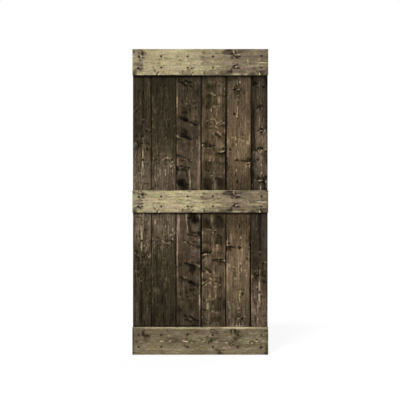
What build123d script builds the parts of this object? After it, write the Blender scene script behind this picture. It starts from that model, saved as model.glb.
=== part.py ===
"""A sliding barn door: six tongue-and-groove boards held edge to edge by three rails and wood screws.

The door stands upright, as it hangs: +Z is up, its width runs along X and its face looks towards -Y.
The origin is on the bottom edge, in the middle of the width and of the thickness. Lengths are in millimetres.
"""

import os
from dataclasses import dataclass
from math import radians, tan

from build123d import *

# Door
door_height = 2133.6

# Boards. A board's cover is its width from seam to seam, and the two edge boards are ripped to fill the door.
full_board_cover = 174.6
left_board_cover = 127.0
right_board_cover = 116.6
board_thickness = 19.0
seam_gap = 0.8
v_joint_depth = 3.5
outer_arris = 1.5
back_arris = 1.0

# Tongue and groove, in the middle of the board's thickness
tongue_thickness = 6.0
tongue_length = 7.0
tongue_arris = 0.8
groove_side_clearance = 0.2
groove_end_clearance = 0.8

# Rails
rail_thickness = 19.0
rail_overhang = 3.0
rail_edge_radius = 2.0
top_rail_width = 182.7
middle_rail_width = 156.0
bottom_rail_width = 194.0
middle_rail_rise = 3.0
top_screw_inset = 52.0
middle_screw_inset = 44.0
bottom_screw_inset = 55.0

# Screws
screw_head_diameter = 8.4
screw_head_rim = 0.4
screw_head_angle = 90.0
screw_head_sink = 1.2
screw_head_clearance = 0.1
screw_shank_diameter = 4.2
screw_shank_clearance = 0.25
screw_thread_diameter = 3.6
screw_thread_clearance = 0.05
screw_point_length = 5.0
screw_point_flat = 0.25
screw_back_cover = 6.0
pilot_hole_spare = 1.0

# Cross recess of the screw head
recess_width = 4.4
recess_slot = 1.1
recess_depth = 2.2
recess_taper = 8.0

# Depths along Y
front_y = -(rail_thickness + board_thickness) / 2
joint_y = front_y + rail_thickness
back_y = joint_y + board_thickness
board_middle_y = (joint_y + back_y) / 2

# Groove and screw sizes that follow from their mating pieces
groove_width = tongue_thickness + 2 * groove_side_clearance
groove_depth = tongue_length - seam_gap + groove_end_clearance
head_flare = tan(radians(screw_head_angle / 2))
screw_length = rail_thickness + board_thickness - screw_head_sink - screw_back_cover
sink_radius = screw_head_diameter / 2 + screw_head_clearance + (screw_head_sink + screw_head_rim) * head_flare
shank_hole_radius = screw_shank_diameter / 2 + screw_shank_clearance
pilot_hole_radius = screw_thread_diameter / 2 + screw_thread_clearance
pilot_hole_depth = board_thickness - screw_back_cover + pilot_hole_spare

# The door's face and the plane where the boards meet the rails, both looking out towards -Y
face_plane = Plane(origin=(0, front_y, 0), x_dir=(1, 0, 0), z_dir=(0, -1, 0))
joint_plane = Plane(origin=(0, joint_y, 0), x_dir=(1, 0, 0), z_dir=(0, -1, 0))


@dataclass(frozen=True)
class Board:
    """An upright board: its width from seam to seam, and how far its screws stand to the right of its middle."""

    name: str
    cover: float
    screw_offset: float


@dataclass(frozen=True)
class Rail:
    """A cross rail: its lower edge, its width up the door, and how far its screws stand from its edges."""

    name: str
    bottom: float
    width: float
    screw_inset: float

    @property
    def screw_heights(self):
        """The heights of the lower and the upper row of screws."""
        return (self.bottom + self.screw_inset, self.bottom + self.width - self.screw_inset)


# From left to right as seen from the front. The screws were driven by eye, so each pair has its own offset.
boards = [
    Board("left_edge_board", left_board_cover, -22.0),
    Board("board_2", full_board_cover, -16.0),
    Board("board_3", full_board_cover, -6.0),
    Board("board_4", full_board_cover, -4.0),
    Board("board_5", full_board_cover, -7.0),
    Board("right_edge_board", right_board_cover, 14.0),
]
field_width = sum(board.cover for board in boards)
seam_xs = [sum(board.cover for board in boards[:number]) - field_width / 2 for number in range(len(boards) + 1)]
screw_xs = [
    (left + right) / 2 + board.screw_offset for board, left, right in zip(boards, seam_xs, seam_xs[1:])
]

middle_rail_bottom = (door_height - middle_rail_width) / 2 + middle_rail_rise
rails = [
    Rail("top_rail", door_height - top_rail_width, top_rail_width, top_screw_inset),
    Rail("middle_rail", middle_rail_bottom, middle_rail_width, middle_screw_inset),
    Rail("bottom_rail", 0.0, bottom_rail_width, bottom_screw_inset),
]


def make_board(number):
    """One upright board: a groove on its left edge, a tongue on its right, and half a V-joint at each seam."""
    first = number == 0
    last = number == len(boards) - 1
    left = seam_xs[number] + (0 if first else seam_gap / 2)
    right = seam_xs[number + 1] - (0 if last else seam_gap / 2)
    with BuildPart() as board:
        with BuildSketch(Plane.XY):
            with Locations(((left + right) / 2, board_middle_y)):
                Rectangle(right - left, board_thickness)
            corners = vertices()
            front_corners = corners.filter_by_position(Axis.Y, joint_y, joint_y)
            back_corners = corners.filter_by_position(Axis.Y, back_y, back_y)
            chamfer(front_corners.sort_by(Axis.X)[0], outer_arris if first else v_joint_depth)
            chamfer(front_corners.sort_by(Axis.X)[-1], outer_arris if last else v_joint_depth)
            chamfer(back_corners, back_arris)
            if not first:
                with Locations((left, board_middle_y)):
                    Rectangle(groove_depth, groove_width, align=(Align.MIN, Align.CENTER), mode=Mode.SUBTRACT)
            if not last:
                with Locations((right, board_middle_y)):
                    Rectangle(tongue_length, tongue_thickness, align=(Align.MIN, Align.CENTER))
                chamfer(vertices().group_by(Axis.X)[-1], tongue_arris)
        extrude(amount=door_height)
        with BuildSketch(joint_plane):
            with Locations(*[(screw_xs[number], height) for rail in rails for height in rail.screw_heights]):
                Circle(pilot_hole_radius)
        extrude(amount=-pilot_hole_depth, mode=Mode.SUBTRACT)
    return board.part


def make_rail(rail):
    """One rail across the boards, with rounded front edges and a countersunk hole for each screw."""
    length = field_width + 2 * rail_overhang
    with BuildPart() as bar:
        with BuildSketch(face_plane):
            with Locations((0, rail.bottom + rail.width / 2)):
                Rectangle(length, rail.width)
        extrude(amount=-rail_thickness)
        fillet(bar.faces().sort_by(Axis.Y)[0].edges(), rail_edge_radius)
        with Locations(face_plane):
            with Locations(*[(x, height) for x in screw_xs for height in rail.screw_heights]):
                CounterSinkHole(shank_hole_radius, sink_radius, counter_sink_angle=screw_head_angle)
    return bar.part


def make_screw():
    """One countersunk wood screw along +Y, its head's flat at the origin, with a cross recess and a point."""
    head_radius = screw_head_diameter / 2
    shank_radius = screw_shank_diameter / 2
    thread_radius = screw_thread_diameter / 2
    cone_end = screw_head_rim + (head_radius - shank_radius) / head_flare
    shank_end = rail_thickness - screw_head_sink
    point_start = screw_length - screw_point_length
    with BuildPart() as screw:
        with BuildSketch(Plane.XY):
            with BuildLine():
                Polyline(
                    (0, 0),
                    (head_radius, 0),
                    (head_radius, screw_head_rim),
                    (shank_radius, cone_end),
                    (shank_radius, shank_end - (shank_radius - thread_radius)),
                    (thread_radius, shank_end),
                    (thread_radius, point_start),
                    (screw_point_flat, screw_length),
                    (0, screw_length),
                    close=True,
                )
            make_face()
        revolve(axis=Axis.Y)
        with BuildSketch(Plane(origin=(0, 0, 0), x_dir=(1, 0, 0), z_dir=(0, -1, 0))):
            Rectangle(recess_width, recess_slot)
            Rectangle(recess_slot, recess_width)
        extrude(amount=-recess_depth, taper=recess_taper, mode=Mode.SUBTRACT)
    return screw.part


def make_screw_group(rail, screw):
    """All the screws of one rail, each a solid of its own, with their heads sunk below the rail's face."""
    with BuildPart() as group:
        with Locations(*[(x, front_y + screw_head_sink, height) for x in screw_xs for height in rail.screw_heights]):
            add(screw)
    return group.part


def write(part, name):
    """Labels a finished piece and writes it as parts/NAME.step."""
    part.label = name
    export_step(part, f"parts/{name}.step")


os.makedirs("parts", exist_ok=True)
for number, board in enumerate(boards):
    write(make_board(number), board.name)
wood_screw = make_screw()
for rail in rails:
    write(make_rail(rail), rail.name)
    write(make_screw_group(rail, wood_screw), f"{rail.name}_screws")
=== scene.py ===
"""A sliding barn door: six dark-stained upright boards held by three paler rails and sunk black screws.

Each plank is cut from a log of its own. Its growth rings, the fibres that flow round its knots, and the way
it took the stain are worked out as whole arrays over its surface and kept as attributes that the finishes
read, so a knot or a ring on the face carries on over the edges and the end grain to the back.

A plank has directions of its own: across its width, its depth from the face into the wood, and along its
fibres. Lengths in the classes are in millimetres, and the meshes that they build are in metres.
"""

import logging
import math
from dataclasses import dataclass, replace
from enum import Enum
from typing import Iterable, Sequence

import bpy
import numpy as np
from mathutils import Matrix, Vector

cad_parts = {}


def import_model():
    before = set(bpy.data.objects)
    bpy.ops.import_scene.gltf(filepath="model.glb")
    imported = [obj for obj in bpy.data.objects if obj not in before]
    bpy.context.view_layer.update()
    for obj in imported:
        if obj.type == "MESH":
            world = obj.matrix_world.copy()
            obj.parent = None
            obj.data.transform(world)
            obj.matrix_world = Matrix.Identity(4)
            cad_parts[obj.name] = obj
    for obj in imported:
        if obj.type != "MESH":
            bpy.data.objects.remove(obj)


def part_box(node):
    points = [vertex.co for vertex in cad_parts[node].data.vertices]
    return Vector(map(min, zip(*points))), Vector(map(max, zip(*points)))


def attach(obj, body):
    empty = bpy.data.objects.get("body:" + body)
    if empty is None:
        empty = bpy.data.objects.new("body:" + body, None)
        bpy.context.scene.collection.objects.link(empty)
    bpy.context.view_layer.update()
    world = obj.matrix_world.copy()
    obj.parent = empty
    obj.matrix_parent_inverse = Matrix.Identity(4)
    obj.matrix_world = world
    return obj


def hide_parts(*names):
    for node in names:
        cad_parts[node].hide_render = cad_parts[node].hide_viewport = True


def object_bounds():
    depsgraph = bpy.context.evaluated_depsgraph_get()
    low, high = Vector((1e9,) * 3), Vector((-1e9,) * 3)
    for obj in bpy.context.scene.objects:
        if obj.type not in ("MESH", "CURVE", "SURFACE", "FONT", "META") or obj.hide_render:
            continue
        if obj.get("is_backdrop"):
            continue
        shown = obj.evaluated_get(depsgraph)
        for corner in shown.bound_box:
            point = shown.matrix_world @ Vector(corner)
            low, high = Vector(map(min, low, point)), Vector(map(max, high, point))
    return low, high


Array = np.ndarray
Colour = tuple[float, float, float]
Material = bpy.types.Material
Piece = bpy.types.Object
Socket = bpy.types.NodeSocket
Tree = bpy.types.NodeTree
METRE = 1000.0
log = logging.getLogger("barn_door")


# Wood


@dataclass(frozen=True)
class Ripples:
    """Smooth seeded noise: sine waves whose directions and phases are drawn once and added up.

    Attributes:
        lengths: The typical wavelength across, into and along the wood.
        seed: What the waves are drawn from.
        waves: How many waves are added up.
    """

    lengths: tuple[float, float, float]
    seed: int
    waves: int = 14

    def at(self, points: Array) -> Array:
        """The noise at each point: the sum of sin(k . p + phase), scaled to a spread of about one.

        Args:
            points: Across, depth and along of each point, in the last axis.

        Returns:
            One height for each point.
        """
        draw = np.random.default_rng(self.seed)
        numbers = draw.normal(size=(self.waves, 3)) * math.tau / np.array(self.lengths)
        phases = draw.uniform(0, math.tau, self.waves)
        total = sum(np.sin(points @ number + phase) for number, phase in zip(numbers, phases))
        return total * math.sqrt(2 / self.waves)


@dataclass(frozen=True)
class Mark:
    """A patch or streak that took more stain than the wood around it, or less.

    Attributes:
        across: Its middle, from the plank's middle on a board and from the lower edge on a rail.
        along: Its middle along the fibres.
        width: Half its size across the fibres.
        length: Half its size along them.
        change: How much more stain it holds. Minus is paler.
        turn: How far it is turned anticlockwise, in degrees, seen from the front of an upright board.
        tint: Plus leans to green, minus to red.
        cool: Plus is bluer, minus is yellower.
    """

    across: float
    along: float
    width: float
    length: float
    change: float
    turn: float = 0.0
    tint: float = 0.0
    cool: float = 0.0

    def share(self, across: Array, along: Array) -> Array:
        """How much of the mark lies at each point: exp(-q^3), with q the distance in half sizes.

        Args:
            across: Across at each point.
            along: Along at each point.

        Returns:
            The share at each point, from 0 to 1.
        """
        c, s = math.cos(math.radians(self.turn)), math.sin(math.radians(self.turn))
        right, up = across - self.across, along - self.along
        q2 = ((right * c + up * s) / self.width) ** 2 + ((up * c - right * s) / self.length) ** 2
        return np.exp(-(np.minimum(q2, 25.0) ** 1.5))


@dataclass(frozen=True)
class Knot:
    """A branch that the saw cut through.

    Attributes:
        across: Its middle on the face, measured as a mark's.
        along: Its middle along the fibres.
        width: Half its size across the fibres.
        length: Half its size along them.
        change: How much more stain its core holds.
    """

    across: float
    along: float
    width: float
    length: float
    change: float


class Repeat(Enum):
    """How the marks above a board's middle come again below it."""

    TURNED = "turned"
    MIRRORED = "mirrored"


def below(item: Mark | Knot, repeat: Repeat, about: float, slide: float) -> Mark | Knot:
    """A mark or knot as it comes again below the middle.

    Args:
        item: The mark or knot above.
        repeat: Whether it is turned by half a turn or mirrored upside down.
        about: The height of the centre of the turn, or of the mirror.
        slide: How far to the right the copy is moved.

    Returns:
        Its copy.
    """
    side = -1 if repeat is Repeat.TURNED else 1
    moved = replace(item, across=side * item.across + slide, along=2 * about - item.along)
    if isinstance(item, Mark) and repeat is Repeat.MIRRORED:
        moved = replace(moved, turn=-item.turn)
    return moved


@dataclass(frozen=True)
class Log:
    """The tree that a plank was sawn from.

    Attributes:
        pith_across: Where the tree's middle lies across the plank.
        pith_depth: How far behind the plank's face it lies.
        ring: The width of a year's growth.
        taper: How much nearer the face the pith comes for each millimetre up.
        sway: How far the pith wanders from side to side.
        seed: What the log's own unevenness is drawn from.
    """

    pith_across: float
    pith_depth: float
    ring: float
    taper: float
    sway: float
    seed: int


@dataclass
class Figure:
    """What a plank's surface shows at each point, ready to be kept as attributes.

    Attributes:
        ring: Count of growth rings from the pith.
        knot: Distance from the nearest knot's middle, in knot radii.
        stain: Density of the stain.
        tint: Plus leans to green, minus to red.
        cool: How much bluer it looks. Minus is yellower.
        streak: How strongly the straight streaks show.
        fibre: Across, depth and along, carried with the fibres round the knots.
    """

    ring: Array
    knot: Array
    stain: Array
    tint: Array
    cool: Array
    streak: Array
    fibre: Array


@dataclass
class Timber:
    """The wood of one plank: its log, its knots and how it took the stain.

    Attributes:
        log: The tree that it comes from.
        density: The stain's usual density.
        tint: How green it looks. Minus is red.
        cool: How much bluer it looks. Minus is yellower.
        figure: Its knots and marks.
        contrast: How strongly they show.
        crisp: How much more strongly than that the smallest ones show.
        olive: How green its small dark marks are.
        curl: How blotchy the stain is where the grain curls.
        straight: How strongly the straight streaks show.
        soaked: How strongly the marks show on the back.
        thickness: The plank's thickness.
        knot_reach: How far along the fibres a knot pushes them aside, in knot lengths.
        knot_lift: How many rings a knot lifts the grain around it.
        far: The knot distance past which nothing of a knot is left.
        small: The half size, in millimetres, that makes a mark a small one.
        blotch: How much the stain differs from place to place.
        hues: How much its green differs.
        cools: How much its blue differs.
    """

    log: Log
    density: float
    tint: float
    cool: float
    figure: Sequence[Mark | Knot]
    contrast: float = 1.0
    crisp: float = 0.8
    olive: float = 0.0
    curl: float = 0.2
    straight: float = 1.0
    soaked: float = 0.6
    thickness: float = 19.0
    knot_reach: float = 1.9
    knot_lift: float = 2.2
    far: float = 4.0
    small: float = 8.0
    blotch: float = 0.10
    hues: float = 0.5
    cools: float = 0.04

    @property
    def knots(self) -> list[Knot]:
        """The knots alone."""
        return [item for item in self.figure if isinstance(item, Knot)]

    @property
    def marks(self) -> list[Mark]:
        """The marks alone."""
        return [item for item in self.figure if isinstance(item, Mark)]

    def flow(self, points: Array) -> Array:
        """Across, with the fibres pushed aside by each knot as water is by a post.

        A fibre that would pass a knot at distance d passes at sqrt(d^2 + w^2 g), where w is the knot's half
        width and g falls off along the fibres, so each point's own fibre is found by taking w^2 g off d^2.

        Args:
            points: Across, depth and along of each point, in the last axis.

        Returns:
            Where each point's fibre lies across, away from any knot.
        """
        across, along = points[..., 0].copy(), points[..., 2]
        for knot in self.knots:
            fall = np.exp(-(((along - knot.along) / (self.knot_reach * knot.length)) ** 2))
            side = across - knot.across
            across = knot.across + np.sign(side) * np.sqrt(np.maximum(side**2 - knot.width**2 * fall, 0.0))
        return across

    def distance(self, points: Array) -> Array:
        """Distance to the nearest knot's middle in knot radii, rough-edged and narrower towards the pith.

        Args:
            points: Across, depth and along of each point, in the last axis.

        Returns:
            The distance at each point, at most far.
        """
        nearest = np.full(points.shape[:-1], self.far)
        shrink = np.clip(1 - points[..., 1] / (2 * self.log.pith_depth), 0.3, 1)
        for number, knot in enumerate(self.knots):
            right = (points[..., 0] - knot.across) / (knot.width * shrink)
            up = (points[..., 2] - knot.along - 0.2 * points[..., 1]) / (knot.length * shrink)
            bearing = np.arctan2(up, right)
            rough = 1 + 0.14 * np.sin(2 * bearing + number) + 0.07 * np.sin(5 * bearing + 3 * number)
            nearest = np.minimum(nearest, np.hypot(right, up) * rough)
        return nearest

    def rings(self, across: Array, points: Array, knot: Array) -> Array:
        """Ring count: distance from the wandering pith over the ring width, lifted around the knots.

        Args:
            across: Where each point's fibre lies across, away from any knot.
            points: Across, depth and along of each point, in the last axis.
            knot: The knot distance at each point.

        Returns:
            The ring count at each point.
        """
        tree, along = self.log, points[..., 2]
        pith_across = tree.pith_across + tree.sway * np.sin(along / 430 + tree.seed)
        pith_depth = tree.pith_depth - tree.taper * along
        pith_depth += 0.35 * tree.sway * np.sin(along / 260 + 2 * tree.seed)
        radius = np.hypot(across - pith_across, points[..., 1] - pith_depth)
        wander = 0.35 * Ripples((60, 60, 420), tree.seed).at(points)
        wander += 0.12 * Ripples((18, 18, 140), tree.seed + 1).at(points)
        return radius / tree.ring + wander + self.knot_lift * np.exp(-0.8 * knot)

    def marked(self, across: Array, along: Array) -> tuple[Array, Array, Array]:
        """The stain, green and blue that the marks and knots add on one side of the plank.

        A mark shows 1 + crisp * exp(-w / small) times as strongly, with w the smaller of its half sizes.
        Smooth noise shifts each point a little first, so that no mark has an even outline.

        Args:
            across: Across at each point.
            along: Along at each point.

        Returns:
            The stain, the green and the blue at each point.
        """
        stain, tint, cool = (np.zeros(across.shape) for _ in range(3))
        flat = np.stack([across, np.zeros_like(across), along], -1)
        across = across + 0.8 * Ripples((13, 13, 16), self.log.seed + 8, 20).at(flat)
        along = along + 1.0 * Ripples((12, 12, 16), self.log.seed + 9, 20).at(flat)
        for mark in self.marks:
            share = mark.share(across, along)
            sharp = math.exp(-min(mark.width, mark.length) / self.small)
            stain += mark.change * share * (1 + self.crisp * sharp)
            tint += (mark.tint + self.olive * sharp * max(mark.change, 0)) * share
            cool += mark.cool * share
        for knot in self.knots:
            q = np.hypot((across - knot.across) / knot.width, (along - knot.along) / knot.length)
            stain += knot.change * np.exp(-(np.minimum(q, self.far) ** 3))
        return stain, tint, cool

    def at(self, points: Array) -> Figure:
        """What the surface shows at each point.

        The back has the face's marks turned end for end, because the stain soaked in from both sides.

        Args:
            points: Across, depth and along of each point, in the last axis.

        Returns:
            The figure.
        """
        across, along = self.flow(points), points[..., 2]
        knot = self.distance(points)
        middle = (along.min() + along.max()) / 2
        front, front_tint, front_cool = self.marked(points[..., 0], along)
        back, back_tint, back_cool = self.marked(points[..., 0], 2 * middle - along)
        share = np.clip(2 * points[..., 1] / self.thickness - 0.5, 0, 1)
        blotch = self.blotch * Ripples((70, 30, 260), self.log.seed + 2).at(points)
        curled = self.curl * Ripples((26, 26, 34), self.log.seed + 4, 30).at(points)
        soaked = (1 - share) * front + self.soaked * share * back
        stain = self.density + self.contrast * soaked + blotch + curled
        hues = self.hues * Ripples((34, 34, 90), self.log.seed + 5, 20).at(points)
        tint = self.tint + (1 - share) * front_tint + share * back_tint + hues
        cool = self.cool + (1 - share) * front_cool + share * back_cool
        cool += self.cools * Ripples((50, 50, 130), self.log.seed + 10, 20).at(points)
        fibre = np.stack([across, points[..., 1], along], -1)
        patchy = 1 + 0.3 * Ripples((60, 40, 150), self.log.seed + 6).at(points)
        streak = np.clip(self.straight * patchy, 0.1, 1.6)
        return Figure(self.rings(across, points, knot), knot, stain, tint, cool, streak, fibre)


# Planks


def spread(low: float, high: float, step: float, extra: Iterable[float] = (), clear: float = 0.0) -> Array:
    """Grid lines from low to high: even ones about a step apart, and extra ones that the shape needs.

    Args:
        low: The first line.
        high: The last line.
        step: The usual distance between lines.
        extra: Lines that have to be there.
        clear: Even lines nearer than this to an extra one are left out.

    Returns:
        The lines in order.
    """
    extra = np.array([line for line in extra if low < line < high])
    even = np.linspace(low, high, int(round((high - low) / step)) + 1)
    if len(extra):
        near = np.abs(even[:, None] - extra[None, :]).min(axis=1) < clear
        even = even[~near | (even == low) | (even == high)]
    return np.unique(np.concatenate([even, extra]).round(5))


def crowd(low: float, high: float, count: int, places: Sequence[float], reach: float, pull: float) -> Array:
    """Grid lines from low to high that crowd together near some places.

    The lines are even in the running total of a density that is 1 everywhere and rises by pull at each place.

    Args:
        low: The first line.
        high: The last line.
        count: How many lines there are.
        places: Where they crowd.
        reach: How far around a place they crowd.
        pull: How many times closer they lie there.

    Returns:
        The lines in order.
    """
    fine = np.linspace(low, high, 4000)
    density = np.ones_like(fine)
    for place in places:
        density = np.maximum(density, 1 + pull * np.exp(-(((fine - place) / reach) ** 2)))
    total = np.concatenate([[0.0], np.cumsum((density[1:] + density[:-1]) / 2)])
    return np.interp(np.linspace(0, total[-1], count), total, fine)


def outline_of(columns: int, rows: int) -> tuple[Array, Array]:
    """Column and row numbers round the outside of a grid, with the face first and the back third.

    Args:
        columns: How many columns the grid has.
        rows: How many rows it has.

    Returns:
        The column and the row of each point of the outline, in order.
    """
    last_column, last_row = columns - 1, rows - 1
    face_column, back_column = np.arange(columns), np.arange(last_column - 1, -1, -1)
    right_row, left_row = np.arange(1, rows), np.arange(last_row - 1, 0, -1)
    column = [face_column, np.full(last_row, last_column), back_column, np.zeros(last_row - 1)]
    row = [np.zeros(columns), right_row, np.full(last_column, last_row), left_row]
    return np.concatenate(column).astype(int), np.concatenate(row).astype(int)


def outward_quads(points: Array, quads: Array) -> Array:
    """The quads, turned over if the volume that they enclose comes out negative.

    Args:
        points: The corners.
        quads: Four corner numbers for each face.

    Returns:
        The quads, which then face outwards.
    """
    a, b, c, d = (points[quads[:, corner]] for corner in range(4))
    volume = np.einsum("ij,ij->", a, np.cross(b, c)) + np.einsum("ij,ij->", a, np.cross(c, d))
    return quads if volume > 0 else quads[:, ::-1]


def new_piece(name: str, points: Array, faces: Array, material: Material) -> Piece:
    """A mesh object at the origin, with its place in its mesh.

    Args:
        name: The piece's name.
        points: The corners, in metres.
        faces: Four corner numbers for each face. The last is -1 in a triangle.
        material: Its finish.

    Returns:
        The object, linked to the scene.
    """
    mesh = bpy.data.meshes.new(name)
    sizes = np.where(faces[:, 3] < 0, 3, 4)
    corners = faces.ravel()[faces.ravel() >= 0]
    mesh.vertices.add(len(points))
    mesh.vertices.foreach_set("co", points.astype(np.float32).ravel())
    mesh.loops.add(len(corners))
    mesh.loops.foreach_set("vertex_index", corners.astype(np.int32))
    mesh.polygons.add(len(faces))
    mesh.polygons.foreach_set("loop_start", np.concatenate([[0], np.cumsum(sizes)[:-1]]).astype(np.int32))
    mesh.polygons.foreach_set("use_smooth", np.ones(len(faces), bool))
    mesh.update(calc_edges=True)
    mesh.validate()
    mesh.materials.append(material)
    piece = bpy.data.objects.new(name, mesh)
    bpy.context.scene.collection.objects.link(piece)
    return piece


def keep(piece: Piece, name: str, values: Array) -> None:
    """Keeps one number, or one vector, for each corner of a piece as an attribute.

    Args:
        piece: The piece.
        name: The attribute's name.
        values: The number or the vector at each corner.
    """
    vector = values.ndim == 2
    attribute = piece.data.attributes.new(name, "FLOAT_VECTOR" if vector else "FLOAT", "POINT")
    attribute.data.foreach_set("vector" if vector else "value", values.astype(np.float32).ravel())


class EdgeForm(Enum):
    """How a board's long edge is worked."""

    PLAIN = "plain"
    GROOVE = "groove"
    TONGUE = "tongue"


@dataclass(frozen=True)
class JointSizes:
    """The tongue-and-groove joint of the boards, and their arrises."""

    seam_gap: float = 0.8
    v_joint: float = 3.5
    outer_arris: float = 1.5
    back_arris: float = 1.0
    tongue_thickness: float = 6.0
    tongue_length: float = 7.0
    tongue_arris: float = 0.8
    groove_width: float = 6.4
    groove_depth: float = 7.0

    def rows(self, form: EdgeForm, thickness: float) -> Array:
        """One long edge of a board, row by row from the face to the back.

        Args:
            form: How the edge is worked.
            thickness: The board's thickness.

        Returns:
            For each row, how far it lies inside the edge line, and its depth.
        """
        arris = self.outer_arris if form is EdgeForm.PLAIN else self.v_joint
        face = [(arris, 0.0), (arris / 2, arris / 2), (0.0, arris)]
        back = [(0.0, thickness - self.back_arris), (self.back_arris, thickness)]
        half = (self.groove_width if form is EdgeForm.GROOVE else self.tongue_thickness) / 2
        near, far = thickness / 2 - half, thickness / 2 + half
        if form is EdgeForm.PLAIN:
            depths = np.linspace(arris, thickness - self.back_arris, 8)[1:-1]
            inner = [(0.0, depth) for depth in depths]
        elif form is EdgeForm.GROOVE:
            lip = self.tongue_arris
            inner = [(0.0, near), (self.groove_depth, near), (self.groove_depth, near + lip)]
            inner += [(self.groove_depth, far - lip), (self.groove_depth, far), (0.0, far)]
        else:
            root, tip = self.tongue_arris - self.tongue_length, -self.tongue_length
            inner = [(0.0, near), (root, near), (tip, near + self.tongue_arris)]
            inner += [(tip, far - self.tongue_arris), (root, far), (0.0, far)]
        return np.array(face + inner + back)


@dataclass
class Plank:
    """A sawn piece of wood: a closed skin of grid lines along and round it, with sawn ends.

    Attributes:
        name: The node that it stands for.
        timber: Its wood.
        finish: Its material.
    """

    name: str
    timber: Timber
    finish: Material

    def __post_init__(self) -> None:
        """Reads the plank's box from the frame."""
        low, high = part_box(self.name)
        self.low, self.high = np.array(low) * METRE, np.array(high) * METRE
        self.face = self.low[1]
        self.thickness = self.high[1] - self.low[1]

    def lines(self) -> Array:
        """Where the grid lines that go round the plank lie along it."""
        raise NotImplementedError

    def section(self) -> tuple[Array, Array]:
        """Across and depth of the section's grid, columns by rows."""
        raise NotImplementedError

    def shape(self, points: Array) -> Array:
        """The block's points, rounded, drilled or worn."""
        raise NotImplementedError

    def place(self, points: Array) -> Array:
        """Across, depth and along as X, Y and Z of the door."""
        raise NotImplementedError

    def wear(self, points: Array) -> Array:
        """How rubbed each point is: 1 on an arris, fading over a few millimetres."""
        raise NotImplementedError

    def relief(self, points: Array, figure: Figure) -> Array:
        """How far the surface is brushed away: the soft early wood of each ring, and the rims of knots.

        Args:
            points: The block's points.
            figure: What the surface shows there.

        Returns:
            The depth at each point.
        """
        early = 0.5 + 0.5 * np.cos(math.tau * figure.ring)
        rim = np.exp(-(((figure.knot - 1.0) / 0.16) ** 2))
        bed = Ripples((35, 20, 160), self.timber.log.seed + 7).at(points)
        return 0.14 * early + 0.35 * rim + 0.10 * (1 + np.clip(bed, -1, 1))

    def build(self) -> Piece:
        """Builds the plank.

        The skin is the section's outline at each line along the plank. Each end is the section's whole grid,
        and shares the outline's corners, so the mesh is closed.

        Returns:
            The piece, which stands for its node.
        """
        along = self.lines()
        across, depth = self.section()
        column, row = outline_of(*across.shape)
        count, stations = len(column), len(along)
        skin = np.empty((stations, count, 3))
        skin[..., 0], skin[..., 1], skin[..., 2] = across[column, row], depth[column, row], along[:, None]
        core = np.stack([across[1:-1, 1:-1], depth[1:-1, 1:-1]], -1).reshape(-1, 2)
        ends = [np.column_stack([core, np.full(len(core), end)]) for end in (along[0], along[-1])]
        points = np.concatenate([skin.reshape(-1, 3), *ends])

        ring_of = np.arange(stations * count).reshape(stations, count)
        after = np.roll(ring_of, -1, axis=1)
        sides = np.stack([ring_of[:-1], after[:-1], after[1:], ring_of[1:]], -1).reshape(-1, 4)
        quads = [sides]
        for number, station in enumerate((0, stations - 1)):
            grid = np.empty(across.shape, int)
            grid[column, row] = ring_of[station]
            first = stations * count + number * len(core)
            grid[1:-1, 1:-1] = np.arange(first, first + len(core)).reshape(across.shape[0] - 2, -1)
            cap = np.stack([grid[:-1, :-1], grid[:-1, 1:], grid[1:, 1:], grid[1:, :-1]], -1).reshape(-1, 4)
            quads.append(cap if number == 0 else cap[:, ::-1])

        figure = self.timber.at(points)
        worn = self.wear(points)
        shaped = self.shape(points)
        turned = np.roll(skin[..., :2], -1, axis=1) - np.roll(skin[..., :2], 1, axis=1)
        normal = np.stack([turned[..., 1], -turned[..., 0]], -1)
        normal /= np.maximum(np.linalg.norm(normal, axis=-1, keepdims=True), 1e-9)
        rubbed = 1 + np.clip(Ripples((9, 9, 22), 5).at(points), -1, 1)
        cut = self.relief(points, figure) + 0.25 * worn * rubbed
        shaped[: stations * count, :2] -= normal.reshape(-1, 2) * cut[: stations * count, None]

        placed = self.place(shaped) / METRE
        faces = outward_quads(placed, np.concatenate(quads))
        piece = new_piece(f"{self.name}_wood", placed, faces, self.finish)
        keep(piece, "ring", figure.ring)
        keep(piece, "knot", figure.knot)
        # The stain attribute also carries painted shade: the darkening in the seams, under the rails and in
        # the screw holes, and the painted light along the rails.
        keep(piece, "stain", figure.stain + self.pooled_and_shaded(points))
        keep(piece, "tint", figure.tint)
        keep(piece, "cool", figure.cool)
        keep(piece, "streak", figure.streak)
        keep(piece, "fibre", figure.fibre)
        keep(piece, "wear", worn)
        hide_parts(self.name)
        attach(piece, "root")
        return piece

    def pooled_and_shaded(self, points: Array) -> Array:
        """How much darker each point is: gathered stain, as in a joint, and painted shade."""
        return np.zeros(len(points))


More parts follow.
